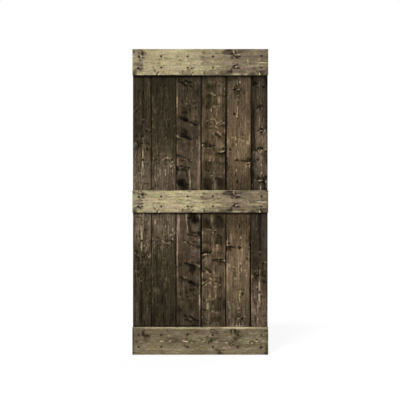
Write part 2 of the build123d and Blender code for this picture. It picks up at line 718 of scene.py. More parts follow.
@dataclass
class Board(Plank):
    """An upright board, with its joints and arrises.

    Attributes:
        left: How its left edge is worked.
        right: How its right edge is worked.
        joint: The sizes of its joints.
        screw_offset: How far its screws stand to the right of its middle.
        seam_reach: How far from its left and its right edge the stain and the painted shade of the seams
            reach, in V-joint depths.
        face_shading: Marks on the face alone: painted shadow, or painted light, along the rails' edges.
        rail_shades: For each rail above open wood, its lower edge, how far below it the painted shadow
            reaches, and how
        sharply that ends.
        seam_stain_and_shade: How much darker the seams are: gathered stain, and painted shade in the
            V-joints.
        rail_shadow_strength: How dark the painted shadow under the rails is.
        column_step: The usual distance between grid lines along the board.
        line_count: How many grid lines run across it.
    """

    left: EdgeForm = EdgeForm.GROOVE
    right: EdgeForm = EdgeForm.TONGUE
    joint: JointSizes = JointSizes()
    screw_offset: float = 0.0
    seam_reach: tuple[float, float] = (1.75, 1.05)
    face_shading: Sequence[Mark] = ()
    rail_shades: Sequence[tuple[float, float, float]] = ((1950.9, 9.0, 1.0), (991.8, 7.0, 4.0))
    seam_stain_and_shade: float = 3.0
    rail_shadow_strength: float = 1.9
    column_step: float = 2.9
    line_count: int = 372

    def __post_init__(self) -> None:
        """Works out the edge lines and the seams from the board's box."""
        super().__post_init__()
        tongue = self.joint.tongue_length if self.right is EdgeForm.TONGUE else 0.0
        self.left_edge, self.right_edge = self.low[0], self.high[0] - tongue
        half_gap = self.joint.seam_gap / 2
        left_seam = self.left_edge - (half_gap if self.left is EdgeForm.GROOVE else 0.0)
        right_seam = self.right_edge + (half_gap if self.right is EdgeForm.TONGUE else 0.0)
        self.middle = (left_seam + right_seam) / 2

    def lines(self) -> Array:
        """Lines across the board, closer together at its knots."""
        places = [knot.along for knot in self.timber.knots]
        return crowd(self.low[2], self.high[2], self.line_count, places, 22.0, 1.1)

    def section(self) -> tuple[Array, Array]:
        """The section's grid, which follows the worked edges and is even in between.

        Each row runs straight across between its two edge points. Its depth slides from the edge's own depth
        to an even share of the thickness over a blend width.

        Returns:
            Across and depth of each point of the grid.
        """
        left = self.joint.rows(self.left, self.thickness)
        right = self.joint.rows(self.right, self.thickness)
        width = self.right_edge - self.left_edge
        edge_lines = [1.5, 4.0, width - 4.0, width - 1.5]
        share = (spread(0.0, width, self.column_step, edge_lines, 1.2) / width)[:, None]
        left_line = self.left_edge - self.middle + left[:, 0]
        right_line = self.right_edge - self.middle - right[:, 0]
        across = left_line[None, :] * (1 - share) + right_line[None, :] * share
        blend = 14.0
        near_left = np.exp(-((share * width / blend) ** 2))
        near_right = np.exp(-(((1 - share) * width / blend) ** 2))
        even = np.linspace(0.0, self.thickness, len(left))[None, :]
        at_edges = near_left * left[None, :, 1] + near_right * right[None, :, 1]
        return across, at_edges + (1 - near_left - near_right) * even

    def shape(self, points: Array) -> Array:
        """The board as sawn, with its long arrises nicked here and there.

        Args:
            points: The block's points.

        Returns:
            The shaped points.
        """
        shaped = points.copy()
        nick = np.clip(Ripples((30, 30, 34), self.timber.log.seed + 11).at(points) - 1.1, 0, 1)
        shaped[:, 1] += 1.2 * nick * self.wear(points) * (points[:, 1] < 1)
        return shaped

    def place(self, points: Array) -> Array:
        """Across is X, depth is Y and along is Z."""
        return np.column_stack([points[:, 0] + self.middle, points[:, 1] + self.face, points[:, 2]])

    def wear(self, points: Array) -> Array:
        """1 on the four long arrises, fading over a few millimetres.

        Args:
            points: The block's points.

        Returns:
            The wear at each point.
        """
        near = np.full(len(points), 1e9)
        for form, edge, inward in ((self.left, self.left_edge, 1), (self.right, self.right_edge, -1)):
            arris = self.joint.outer_arris if form is EdgeForm.PLAIN else self.joint.v_joint
            for inset, depth in ((arris, 0.0), (self.joint.back_arris, self.thickness)):
                side = points[:, 0] - (edge + inward * inset - self.middle)
                near = np.minimum(near, np.hypot(side, points[:, 1] - depth))
        end = np.minimum(points[:, 2] - self.low[2], self.high[2] - points[:, 2])
        return np.maximum(np.exp(-near / 2.5), 0.7 * np.exp(-end / 2.5))

    def pooled_and_shaded(self, points: Array) -> Array:
        """Stain gathers in each joint's V and in the tongue and groove behind it, with painted shade in the V
        too.
        The face also gets a painted shadow under each rail's lower edge, and painted shadow or light along
        the rails.

        Args:
            points: The block's points.

        Returns:
            The stain that each point gains.
        """
        pool_and_shade = np.zeros(len(points))
        on_face = points[:, 1] < self.joint.v_joint
        inside_back = points[:, 1] < self.thickness - 1
        sides = ((self.left, self.left_edge, 1), (self.right, self.right_edge, -1))
        # Each seam darkens: gathered stain, with painted shade in the V-joint.
        for (form, edge, inward), reach in zip(sides, self.seam_reach):
            if form is not EdgeForm.PLAIN:
                inside = (points[:, 0] - (edge - self.middle)) * inward
                deep = np.clip(0.4 + points[:, 1] / self.joint.v_joint, 0, 1)
                near = np.clip(reach - inside / self.joint.v_joint, 0, 1)
                pool_and_shade += self.seam_stain_and_shade * deep * near * inside_back
        # Painted shadow on the face under each rail's lower edge.
        for bottom, length, sharpness in self.rail_shades:
            under = np.abs(bottom - points[:, 2])
            pool_and_shade += self.rail_shadow_strength * np.exp(-((under / length) ** sharpness)) * on_face
        # The face's painted shadows, or painted light, along the rails.
        for mark in self.face_shading:
            pool_and_shade += mark.change * mark.share(points[:, 0], points[:, 2]) * on_face
        return pool_and_shade


@dataclass(frozen=True)
class ScrewSizes:
    """A countersunk wood screw with a cross recess, and the sunk hole that it sits in."""

    head_radius: float = 4.2
    head_rim: float = 0.4
    head_sink: float = 1.2
    shank_radius: float = 2.1
    thread_radius: float = 1.8
    root_radius: float = 1.25
    pitch: float = 2.8
    length: float = 30.8
    shank_end: float = 17.8
    point_length: float = 5.0
    point_flat: float = 0.25
    recess_radius: float = 2.2
    recess_half_slot: float = 0.55
    recess_depth: float = 2.2
    recess_taper: float = 8.0
    hole_radius: float = 5.9
    hole_depth: float = 3.6


@dataclass
class Rail(Plank):
    """A cross rail, with rounded front edges and a sunk hole for each screw.

    Attributes:
        screw_xs: Where its screws stand along the door's width.
        screw_inset: How far they stand from its long edges.
        screw: The sizes of the screws and their holes.
        edge_radius: The rounding of its front edges.
        column_step: The usual distance between grid lines along the rail.
        line_step: The usual distance between those across it.
        hole_shade: How much darker the screw holes are: painted shade in the sunk holes.
        hole_reach: How far round a screw the painted shade reaches, in hole radii.
    """

    screw_xs: Sequence[float] = ()
    screw_inset: float = 0.0
    screw: ScrewSizes = ScrewSizes()
    edge_radius: float = 2.0
    column_step: float = 4.0
    line_step: float = 5.2
    hole_shade: float = 2.2
    hole_reach: float = 1.7

    @property
    def screw_heights(self) -> tuple[float, float]:
        """The heights of the lower and the upper row of screws."""
        return (self.low[2] + self.screw_inset, self.high[2] - self.screw_inset)

    def hole_lines(self, places: Iterable[float]) -> list[float]:
        """Grid lines on both sides of each hole's middle, as squares that later become circles."""
        reaches = (0.0, 1.6, 3.2, 4.6, self.screw.hole_radius, 6.5, 8.6)
        return sorted({place + side * reach for place in places for side in (-1, 1) for reach in reaches})

    def edge_lines(self, low: float, high: float) -> list[float]:
        """Grid lines for the rounded edges at both ends of a stretch."""
        insets = [self.edge_radius * share for share in (0.3, 0.65, 1.0, 2.0)]
        return [low + inset for inset in insets] + [high - inset for inset in insets]

    def lines(self) -> Array:
        """Lines along the rail, closer together at its screws and its ends."""
        extra = self.hole_lines(self.screw_xs) + self.edge_lines(self.low[0], self.high[0])
        return spread(self.low[0], self.high[0], self.line_step, extra, 2.0)

    def section(self) -> tuple[Array, Array]:
        """The rail's plain rectangle, with lines at its rounded edges and its screws.

        Returns:
            Across and depth of each point of the grid.
        """
        width = self.high[2] - self.low[2]
        places = [height - self.low[2] for height in self.screw_heights]
        extra = self.hole_lines(places) + self.edge_lines(0.0, width)
        columns = spread(0.0, width, self.column_step, extra, 1.6)
        rounding = self.edge_radius * np.array([0.0, 0.3, 0.65, 1.0])
        rows = np.concatenate([rounding, np.linspace(self.edge_radius, self.thickness, 6)[1:]])
        across, depth = np.meshgrid(columns, rows, indexing="ij")
        return across, depth

    def shape(self, points: Array) -> Array:
        """The rail with its edges rounded and its screw holes sunk.

        A point within the edge radius of the face and an end or side moves to that radius from the line
        inside. Around each screw, squares of grid lines become circles, and the face drops along a cone.

        Args:
            points: The block's points.

        Returns:
            The shaped points.
        """
        shaped = points.copy()
        for z in (height - self.low[2] for height in self.screw_heights):
            for x in self.screw_xs:
                right, up = points[:, 2] - x, points[:, 0] - z
                square, round_ = np.maximum(np.abs(right), np.abs(up)), np.hypot(right, up)
                on_face = (points[:, 1] < 0.01) & (square < 10.0) & (round_ > 0)
                blend = np.clip((10.0 - square) / 3.0, 0, 1)
                pull = np.where(on_face, 1 + blend * (square / np.maximum(round_, 1e-6) - 1), 1.0)
                shaped[:, 2] = np.where(on_face, x + right * pull, shaped[:, 2])
                shaped[:, 0] = np.where(on_face, z + up * pull, shaped[:, 0])
                sink = np.clip(self.screw.hole_radius - square, 0, self.screw.hole_depth)
                shaped[:, 1] += np.where(on_face, sink, 0.0)
        radius = self.edge_radius
        width = self.high[2] - self.low[2]
        inner = np.column_stack(
            [
                np.clip(shaped[:, 0], radius, width - radius),
                np.maximum(shaped[:, 1], radius),
                np.clip(shaped[:, 2], self.low[0] + radius, self.high[0] - radius),
            ]
        )
        out = shaped - inner
        near_edge = (np.abs(out) > 1e-6).sum(axis=1) > 1
        length = np.maximum(np.linalg.norm(out, axis=1, keepdims=True), 1e-9)
        return np.where(near_edge[:, None] & (shaped[:, 1:2] < radius), inner + out / length * radius, shaped)

    def place(self, points: Array) -> Array:
        """Along is X, depth is Y and across is Z."""
        return np.column_stack([points[:, 2], points[:, 1] + self.face, points[:, 0] + self.low[2]])

    def wear(self, points: Array) -> Array:
        """1 on the edges of the face, fading over a few millimetres.

        Args:
            points: The block's points.

        Returns:
            The wear at each point.
        """
        width = self.high[2] - self.low[2]
        side = np.minimum(points[:, 0], width - points[:, 0])
        end = np.minimum(points[:, 2] - self.low[0], self.high[0] - points[:, 2])
        near = np.hypot(np.minimum(side, end), points[:, 1])
        back = np.hypot(np.minimum(side, end), self.thickness - points[:, 1])
        return np.exp(-np.minimum(near, back + 2) / 3.5)

    def pooled_and_shaded(self, points: Array) -> Array:
        """Painted shade darkens each screw's sunk hole and the face just around it.

        Args:
            points: The block's points.

        Returns:
            The stain that each point gains.
        """
        pool_and_shade = np.zeros(len(points))
        for z in (height - self.low[2] for height in self.screw_heights):
            for x in self.screw_xs:
                reach = np.hypot(points[:, 2] - x, points[:, 0] - z) / self.screw.hole_radius
                # Painted shade in the sunk hole and just around it.
                pool_and_shade += self.hole_shade * np.clip(self.hole_reach - reach, 0, 1) * (points[:, 1] < 0.01)
        return pool_and_shade


@dataclass
class ScrewRow:
    """All the screws of one rail, as one piece that stands for their node.

    Attributes:
        rail: The rail that they hold.
        finish: Their material.
        sizes: The screw's sizes.
        quarter: Angles round a quarter of the screw, in degrees, with the recess's corners among them.
    """

    rail: Rail
    finish: Material
    sizes: ScrewSizes = ScrewSizes()
    quarter: tuple[float, ...] = (0.0, 14.04, 22.0, 33.0, 45.0, 57.0, 68.0, 75.96)

    def recess(self, angles: Array, depth: float) -> Array:
        """Radius of the cross recess at each angle: the arm's end, or its side, narrower as it goes in.

        Args:
            angles: Angles round the screw.
            depth: How far below the head's flat.

        Returns:
            The radius at each angle.
        """
        narrow = depth * math.tan(math.radians(self.sizes.recess_taper))
        arm, slot = self.sizes.recess_radius - narrow, self.sizes.recess_half_slot - 0.6 * narrow
        off = np.abs((angles + math.pi / 4) % (math.pi / 2) - math.pi / 4)
        return np.minimum(arm / np.cos(off), slot / np.maximum(np.sin(off), 1e-6))

    def rows(self, angles: Array) -> tuple[Array, Array, Array]:
        """Radius, depth and wear of each ring of points, from the recess over the head and down the thread.

        The thread's radius swings between root and crest with the phase angle / turn - depth / pitch.

        Args:
            angles: Angles round the screw.

        Returns:
            The radii of each ring, and its depth and wear.
        """
        s = self.sizes
        round_ = np.ones_like(angles)
        neck = s.head_rim + s.head_radius - s.shank_radius
        rings = [(self.recess(angles, s.recess_depth), s.recess_depth, 0.0)]
        rings += [(self.recess(angles, 0.9), 0.9, 0.2), (self.recess(angles, 0.0), 0.0, 0.9)]
        rings += [(round_ * radius, 0.0, 0.15) for radius in (2.7, 3.6)]
        rings += [(round_ * (s.head_radius - 0.15), 0.02, 0.9), (round_ * s.head_radius, 0.15, 0.8)]
        rings += [(round_ * s.head_radius, s.head_rim, 0.1), (round_ * s.shank_radius, neck, 0.0)]
        rings += [(round_ * s.shank_radius, s.shank_end - 0.3, 0.0)]
        start, point = s.shank_end, s.length - s.point_length
        for depth in np.arange(start, s.length - 0.5, s.pitch / 4):
            taper = np.clip((s.length - depth) / s.point_length, 0, 1) if depth > point else 1.0
            phase = (angles / math.tau - depth / s.pitch) % 1.0
            swing = np.clip(1.6 - 3.2 * np.abs(phase - 0.5), 0, 1)
            radius = s.root_radius + (s.thread_radius - s.root_radius) * (1 - swing)
            rings.append((radius * taper, depth, 0.1))
        rings.append((round_ * s.point_flat, s.length - 0.1, 0.0))
        radii = np.stack([radius for radius, _, _ in rings])
        depths = np.array([depth for _, depth, _ in rings])
        return radii, depths, np.array([worn for _, _, worn in rings])

    def build(self) -> Piece:
        """Builds one screw as rings of points closed at both poles, and sets a copy at each hole.

        Returns:
            The piece, with each screw turned by a different angle.
        """
        angles = np.radians([quarter * 90 + angle for quarter in range(4) for angle in self.quarter])
        radii, depths, worn = self.rows(angles)
        rings, around = radii.shape
        rows = np.repeat(np.arange(rings), around)
        x_side, z_side = (radii * np.cos(angles)).ravel(), (radii * np.sin(angles)).ravel()
        body = np.column_stack([x_side, depths[rows], z_side])
        poles = [[0.0, self.sizes.recess_depth + 0.4, 0.0], [0.0, self.sizes.length, 0.0]]
        points = np.concatenate([body, poles])
        grid = np.arange(rings * around).reshape(rings, around)
        after = np.roll(grid, -1, axis=1)
        quads = np.stack([grid[:-1], grid[1:], after[1:], after[:-1]], -1).reshape(-1, 4)
        none = np.full(around, -1)
        top = np.stack([np.full(around, rings * around), grid[0], after[0], none], -1)
        tip = np.stack([np.full(around, rings * around + 1), after[-1], grid[-1], none], -1)
        faces = np.concatenate([quads, top, tip])
        wear = np.concatenate([worn[rows], [0.0, 0.0]])

        draw = np.random.default_rng(17)
        all_points, all_faces, all_wear = [], [], []
        for x in self.rail.screw_xs:
            for z in self.rail.screw_heights:
                turn = draw.uniform(0, math.tau)
                c, s = math.cos(turn), math.sin(turn)
                copy = points @ np.array([[c, 0, s], [0, 1, 0], [-s, 0, c]])
                copy += [x, self.rail.face + self.sizes.head_sink, z]
                all_faces.append(np.where(faces < 0, -1, faces + len(all_points) * len(points)))
                all_points.append(copy)
                all_wear.append(wear * draw.uniform(0.5, 1.0))
        name = f"{self.rail.name}_screws"
        placed = np.concatenate(all_points) / METRE
        piece = new_piece(f"{name}_steel", placed, np.concatenate(all_faces), self.finish)
        keep(piece, "wear", np.concatenate(all_wear))
        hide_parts(name)
        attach(piece, "root")
        return piece


# Node trees


class Graph:
    """Adds nodes to a tree. Its methods take sockets or plain values, and give back sockets."""

    def __init__(self, tree: Tree) -> None:
        """Works on one node tree."""
        self.tree = tree

    def node(self, kind: str, **settings: object) -> bpy.types.Node:
        """A new node with its settings.

        Args:
            kind: The node's type.
            **settings: Its properties.

        Returns:
            The node.
        """
        made = self.tree.nodes.new(kind)
        for name, value in settings.items():
            setattr(made, name, value)
        return made

    def feed(self, socket: Socket, value: object) -> None:
        """Links a socket into another, or sets its plain value.

        Args:
            socket: The input.
            value: What it is given.
        """
        if isinstance(value, Socket):
            self.tree.links.new(value, socket)
        else:
            socket.default_value = value

    def result(self, kind: str, values: Iterable[object], **settings: object) -> Socket:
        """The first output of a new node whose first inputs are fed with the values.

        Args:
            kind: The node's type.
            values: What its first inputs are fed with.
            **settings: Its properties.

        Returns:
            The output.
        """
        made = self.node(kind, **settings)
        for socket, value in zip(made.inputs, values):
            self.feed(socket, value)
        return made.outputs[0]

    def math(self, operation: str, *values: object, clamp: bool = False) -> Socket:
        """A Math node."""
        return self.result("ShaderNodeMath", values, operation=operation, use_clamp=clamp)

    def times(self, first: object, second: object) -> Socket:
        """The product of two numbers."""
        return self.math("MULTIPLY", first, second)

    def plus(self, first: object, second: object) -> Socket:
        """The sum of two numbers."""
        return self.math("ADD", first, second)

    def blend(self, value: object, share: object, rest: object, clamp: bool = False) -> Socket:
        """The value times the share, plus the rest."""
        return self.math("MULTIPLY_ADD", value, share, rest, clamp=clamp)

    def vector(self, operation: str, *values: object) -> Socket:
        """A Vector Math node."""
        return self.result("ShaderNodeVectorMath", values, operation=operation)

    def combine(self, *values: object) -> Socket:
        """A vector from three numbers."""
        return self.result("ShaderNodeCombineXYZ", values)

    def noise(self, vector: object, scale: float = 1.0, detail: float = 2.0, rough: float = 0.5) -> Socket:
        """Noise about 0, mostly between -1 and 1.

        Args:
            vector: Where the noise is read.
            scale: How fine it is.
            detail: How many finer layers it has.
            rough: How strong they are.

        Returns:
            The noise.
        """
        made = self.node("ShaderNodeTexNoise", noise_dimensions="3D")
        self.feed(made.inputs["Vector"], vector)
        for name, value in (("Scale", scale), ("Detail", detail), ("Roughness", rough)):
            made.inputs[name].default_value = value
        return self.times(self.math("SUBTRACT", made.outputs["Fac"], 0.5), 4.0)

    def ramp(self, value: object, low: float, high: float, start: float = 0.0, end: float = 1.0) -> Socket:
        """A smooth step from one number to another."""
        values = (value, low, high, start, end)
        return self.result("ShaderNodeMapRange", values, interpolation_type="SMOOTHSTEP")

    def mix(self, share: object, first: object, second: object) -> Socket:
        """A mix of two colours.

        Args:
            share: How much of the second colour there is.
            first: The first colour.
            second: The second colour.

        Returns:
            The mixed colour.
        """
        made = self.node("ShaderNodeMix", data_type="RGBA")
        self.feed(made.inputs[0], share)
        self.feed(made.inputs[6], first)
        self.feed(made.inputs[7], second)
        return made.outputs[2]

    def attribute(self, name: str, vector: bool = False) -> Socket:
        """One of the piece's own attributes."""
        made = self.node("ShaderNodeAttribute", attribute_name=name)
        return made.outputs["Vector" if vector else "Fac"]

    def group(self, tree: Tree, **inputs: object) -> dict[str, Socket]:
        """A group with its inputs fed, and its outputs by name.

        Args:
            tree: The group's tree.
            **inputs: What each input is given.

        Returns:
            The outputs.
        """
        made = self.node("ShaderNodeGroup")
        made.node_tree = tree
        for name, value in inputs.items():
            self.feed(made.inputs[name.capitalize()], value)
        return {socket.name: socket for socket in made.outputs}


def new_material(name: str) -> tuple[Material, Graph]:
    """An empty material and a graph on its nodes.

    Args:
        name: The material's name.

    Returns:
        The material and the graph.
    """
    made = bpy.data.materials.new(name)
    made.use_nodes = True
    made.node_tree.nodes.clear()
    return made, Graph(made.node_tree)


def new_group(
    name: str, inputs: dict[str, float | Colour], outputs: dict[str, str]
) -> tuple[Graph, dict[str, Socket], dict[str, Socket]]:
    """An empty shader node group.

    Args:
        name: The group's name.
        inputs: Each input's default. Three numbers make a vector input, four a colour input.
        outputs: Each output's kind: Float, Color or Vector.

    Returns:
        A graph on the group, its input sockets and its output sockets, both by name.
    """
    tree = bpy.data.node_groups.new(name, "ShaderNodeTree")
    kinds = {3: "NodeSocketVector", 4: "NodeSocketColor"}
    for label, default in inputs.items():
        kind = "NodeSocketFloat" if isinstance(default, float) else kinds[len(default)]
        tree.interface.new_socket(label, in_out="INPUT", socket_type=kind).default_value = default
    for label, kind in outputs.items():
        tree.interface.new_socket(label, in_out="OUTPUT", socket_type=f"NodeSocket{kind}")
    graph = Graph(tree)
    source, sink = graph.node("NodeGroupInput"), graph.node("NodeGroupOutput")
    return graph, {s.name: s for s in source.outputs}, {s.name: s for s in sink.inputs}


class WoodEffects:
    """The node groups that all the stained wood shares."""

    def __init__(self) -> None:
        """Builds each group once."""
        self.streaks = self.make_streaks()
        self.rings = self.make_rings()
        self.knots = self.make_knots()
        self.colour = self.make_colour()
        self.wear = self.make_wear()

    def make_streaks(self) -> Tree:
        """Streaks along the fibres: noise drawn out to a width and a length.

        Returns:
            The group's tree.
        """
        graph, given, made = new_group(
            "fibre streaks", {"Fibre": (0.0, 0.0, 0.0), "Width": 5.0, "Length": 100.0}, {"Streak": "Float"}
        )
        scale = graph.combine(
            graph.math("DIVIDE", 1.0, given["Width"]),
            graph.math("DIVIDE", 0.5, given["Width"]),
            graph.math("DIVIDE", 1.0, given["Length"]),
        )
        drawn_out = graph.vector("MULTIPLY", given["Fibre"], scale)
        graph.feed(made["Streak"], graph.noise(drawn_out, 1.0, 2.0, 0.55))
        return graph.tree

    def make_rings(self) -> Tree:
        """Growth rings: a dark late-wood line that ends sharply, and years that differ from one another.

        Returns:
            The group's tree.
        """
        graph, given, made = new_group("growth rings", {"Ring": 0.0}, {"Late": "Float", "Year": "Float"})
        part = graph.math("FRACT", given["Ring"])
        rise = graph.ramp(part, 0.25, 0.9)
        fall = graph.ramp(part, 0.92, 1.0, 1.0, 0.0)
        graph.feed(made["Late"], graph.times(rise, fall))
        graph.feed(made["Year"], graph.noise(graph.combine(given["Ring"], 3.7, 1.3), 0.9, 1.0))
        return graph.tree

    def make_knots(self) -> Tree:
        """A knot: its core, its dark bark rim and its own tight rings.

        Returns:
            The group's tree.
        """
        graph, given, made = new_group(
            "knot figure",
            {"Knot": 4.0, "Fibre": (0.0, 0.0, 0.0)},
            {"Core": "Float", "Rim": "Float", "Rings": "Float"},
        )
        rough = graph.noise(graph.vector("MULTIPLY", given["Fibre"], (0.25, 0.25, 0.25)))
        q = graph.plus(given["Knot"], graph.times(rough, 0.10))
        graph.feed(made["Core"], graph.ramp(q, 0.75, 1.05, 1.0, 0.0))
        away = graph.math("DIVIDE", graph.math("SUBTRACT", q, 1.0), 0.22)
        bell = graph.math("EXPONENT", graph.times(graph.times(away, away), -1.0))
        graph.feed(made["Rim"], bell)
        wave = graph.math("SINE", graph.times(q, 19.0))
        graph.feed(made["Rings"], graph.times(wave, graph.ramp(q, 1.0, 2.6, 1.0, 0.0)))
        return graph.tree

    def make_colour(self) -> Tree:
        """Stained wood's colour: the bare wood dimmed by exp(-absorbance x density), then tinted.

        Returns:
            The group's tree.
        """
        white = (1.0, 1.0, 1.0, 1.0)
        graph, given, made = new_group(
            "stained colour",
            {"Wood": white, "Absorbance": (1.0, 1.0, 1.0), "Density": 1.0, "Tint": 0.0, "Cool": 0.0},
            {"Color": "Color"},
        )
        parts = graph.node("ShaderNodeSeparateXYZ")
        graph.feed(parts.inputs[0], given["Absorbance"])
        tints = (-0.055, 0.012, -0.085)
        kept = []
        for socket, tint in zip(parts.outputs, tints):
            dimmed = graph.math("EXPONENT", graph.times(graph.times(socket, given["Density"]), -1.0))
            shift = graph.blend(given["Tint"], tint, 1.0)
            kept.append(graph.times(dimmed, shift))
        kept[1] = graph.times(kept[1], graph.blend(given["Cool"], 0.4, 1.0))
        kept[2] = graph.times(kept[2], graph.plus(given["Cool"], 1.0))
        graph.feed(made["Color"], graph.vector("MULTIPLY", given["Wood"], graph.combine(*kept)))
        return graph.tree

    def make_wear(self) -> Tree:
        """Rubbed edges: the wear broken up by patchy noise.

        Returns:
            The group's tree.
        """
        inputs = {"Wear": 0.0, "Place": (0.0, 0.0, 0.0), "Grain": 0.05}
        graph, given, made = new_group("edge wear", inputs, {"Mask": "Float"})
        grain = graph.combine(given["Grain"], given["Grain"], given["Grain"])
        noise = graph.noise(graph.vector("MULTIPLY", given["Place"], grain), 1.0, 3.0)
        patchy = graph.times(given["Wear"], graph.blend(noise, 0.55, 0.85))
        graph.feed(made["Mask"], graph.ramp(patchy, 0.15, 0.85))
        return graph.tree


@dataclass(frozen=True)
class Streak:
    """Streaks of one size: their width and length, and how much the stain's density swings in them."""

    width: float
    length: float
    swing: float


@dataclass(frozen=True)
class StainedWood:
    """Stained wood, as a finish.

    Attributes:
        name: The material's name.
        wood: The bare wood's colour.
        absorbance: How strongly the stain dims red, green and blue.
        late: How much more stain the late wood holds.
        year: How much the years differ.
        streaks: Its streaks, from broad to fine. The last two also stand up in the surface.
        rubbed: How much paler the rubbed edges are.
        roughness: The surface's roughness.
        knot_rim: How much more stain the bark round a knot holds.
        knot_rings: How much a knot's own rings swing.
        specular: The strength of its shine.
        bump: How strongly the fibres stand up.
        bump_height: How high they stand, in metres.
    """

    name: str
    wood: Colour
    absorbance: Colour
    late: float
    year: float
    streaks: tuple[Streak, ...]
    rubbed: float
    roughness: float
    knot_rim: float = 0.35
    knot_rings: float = 0.16
    specular: float = 0.04
    bump: float = 0.45
    bump_height: float = 0.0006

    def material(self, effects: WoodEffects) -> Material:
        """Builds the material.

        Args:
            effects: The shared node groups.

        Returns:
            The material.
        """
        made, graph = new_material(self.name)
        fibre = graph.attribute("fibre", vector=True)
        knot = graph.group(effects.knots, knot=graph.attribute("knot"), fibre=fibre)
        rings = graph.group(effects.rings, ring=graph.attribute("ring"))
        worn = graph.group(effects.wear, wear=graph.attribute("wear"), place=fibre, grain=0.09)["Mask"]
        streaks = []
        for streak in self.streaks:
            made_streak = graph.group(effects.streaks, fibre=fibre, width=streak.width, length=streak.length)
            streaks.append((made_streak["Streak"], streak.swing))
        outside = graph.math("SUBTRACT", 1.0, knot["Core"])
        grain = graph.times(rings["Late"], self.late)
        grain = graph.blend(rings["Year"], self.year, grain)
        for streak, share in streaks:
            grain = graph.blend(streak, share, grain)
        grain = graph.times(grain, graph.attribute("streak"))
        density = graph.plus(graph.attribute("stain"), graph.times(grain, outside))
        density = graph.blend(knot["Rim"], self.knot_rim, density)
        density = graph.blend(knot["Rings"], self.knot_rings, density)
        density = graph.blend(worn, -self.rubbed, density)
        hue = graph.times(graph.noise(graph.vector("MULTIPLY", fibre, (0.03, 0.03, 0.006))), 0.9)
        tint = graph.plus(graph.attribute("tint"), hue)
        colour = graph.group(
            effects.colour,
            wood=(*self.wood, 1.0),
            absorbance=self.absorbance,
            density=graph.math("MAXIMUM", density, 0.0),
            tint=tint,
            cool=graph.attribute("cool"),
        )["Color"]

        height = graph.blend(streaks[-2][0], 0.35, graph.times(rings["Late"], 0.5))
        height = graph.blend(streaks[-1][0], 0.45, height)
        bump = graph.node("ShaderNodeBump")
        bump.inputs["Strength"].default_value = self.bump
        bump.inputs["Distance"].default_value = self.bump_height
        graph.feed(bump.inputs["Height"], height)
        shader = graph.node("ShaderNodeBsdfPrincipled")
        graph.feed(shader.inputs["Base Color"], colour)
        rough = graph.blend(streaks[-2][0], 0.05, self.roughness)
        graph.feed(shader.inputs["Roughness"], graph.blend(knot["Core"], -0.15, rough, clamp=True))
        graph.feed(shader.inputs["Normal"], bump.outputs[0])
        shader.inputs["Specular IOR Level"].default_value = self.specular
        graph.feed(graph.node("ShaderNodeOutputMaterial").inputs["Surface"], shader.outputs[0])
        return made


@dataclass(frozen=True)
class BlackSteel:
    """Blackened steel of a wood screw, rubbed brighter on the rim and the recess's edges.

    Attributes:
        name: The material's name.
        black: The colour of the blackening.
        bare: The colour of the rubbed steel.
        bump: How strongly the grit stands up.
        bump_height: How high it stands, in metres.
    """

    name: str = "blackened screw steel"
    black: Colour = (0.008, 0.0075, 0.007)
    bare: Colour = (0.10, 0.095, 0.09)
    bump: float = 0.3
    bump_height: float = 0.0001

    def material(self, effects: WoodEffects) -> Material:
        """Builds the material from the shared wear group.

        Args:
            effects: The shared node groups.

        Returns:
            The material.
        """
        made, graph = new_material(self.name)
        place = graph.vector("MULTIPLY", graph.node("ShaderNodeTexCoord").outputs["Object"], (METRE,) * 3)
        worn = graph.group(effects.wear, wear=graph.attribute("wear"), place=place, grain=0.8)["Mask"]
        grit = graph.noise(graph.vector("MULTIPLY", place, (2.0, 2.0, 2.0)), 1.0, 3.0)
        shader = graph.node("ShaderNodeBsdfPrincipled")
        colour = graph.mix(graph.times(worn, 0.5), (*self.black, 1.0), (*self.bare, 1.0))
        graph.feed(shader.inputs["Base Color"], colour)
        graph.feed(shader.inputs["Metallic"], graph.times(worn, 0.6))
        graph.feed(shader.inputs["Roughness"], graph.blend(grit, 0.06, 0.5, clamp=True))
        bump = graph.node("ShaderNodeBump")
        bump.inputs["Strength"].default_value = self.bump
        bump.inputs["Distance"].default_value = self.bump_height
        graph.feed(bump.inputs["Height"], grit)
        graph.feed(shader.inputs["Normal"], bump.outputs[0])
        graph.feed(graph.node("ShaderNodeOutputMaterial").inputs["Surface"], shader.outputs[0])
        return made


# The planks' own marks


def marks(*rows: tuple[float, ...]) -> list[Mark]:
    """Marks from short rows.

    Args:
        rows: For each mark its middle across and along, its half width and half length, and its change in
            hundredths, then where it has them its turn and its tint in hundredths.

    Returns:
        The marks in the same order.
    """
    made = []
    for across, along, width, length, change, *rest in rows:
        turn, tint = (*rest, 0, 0)[:2]
        made.append(Mark(across, along, width, length, change / 100, turn, tint / 100))
    return made
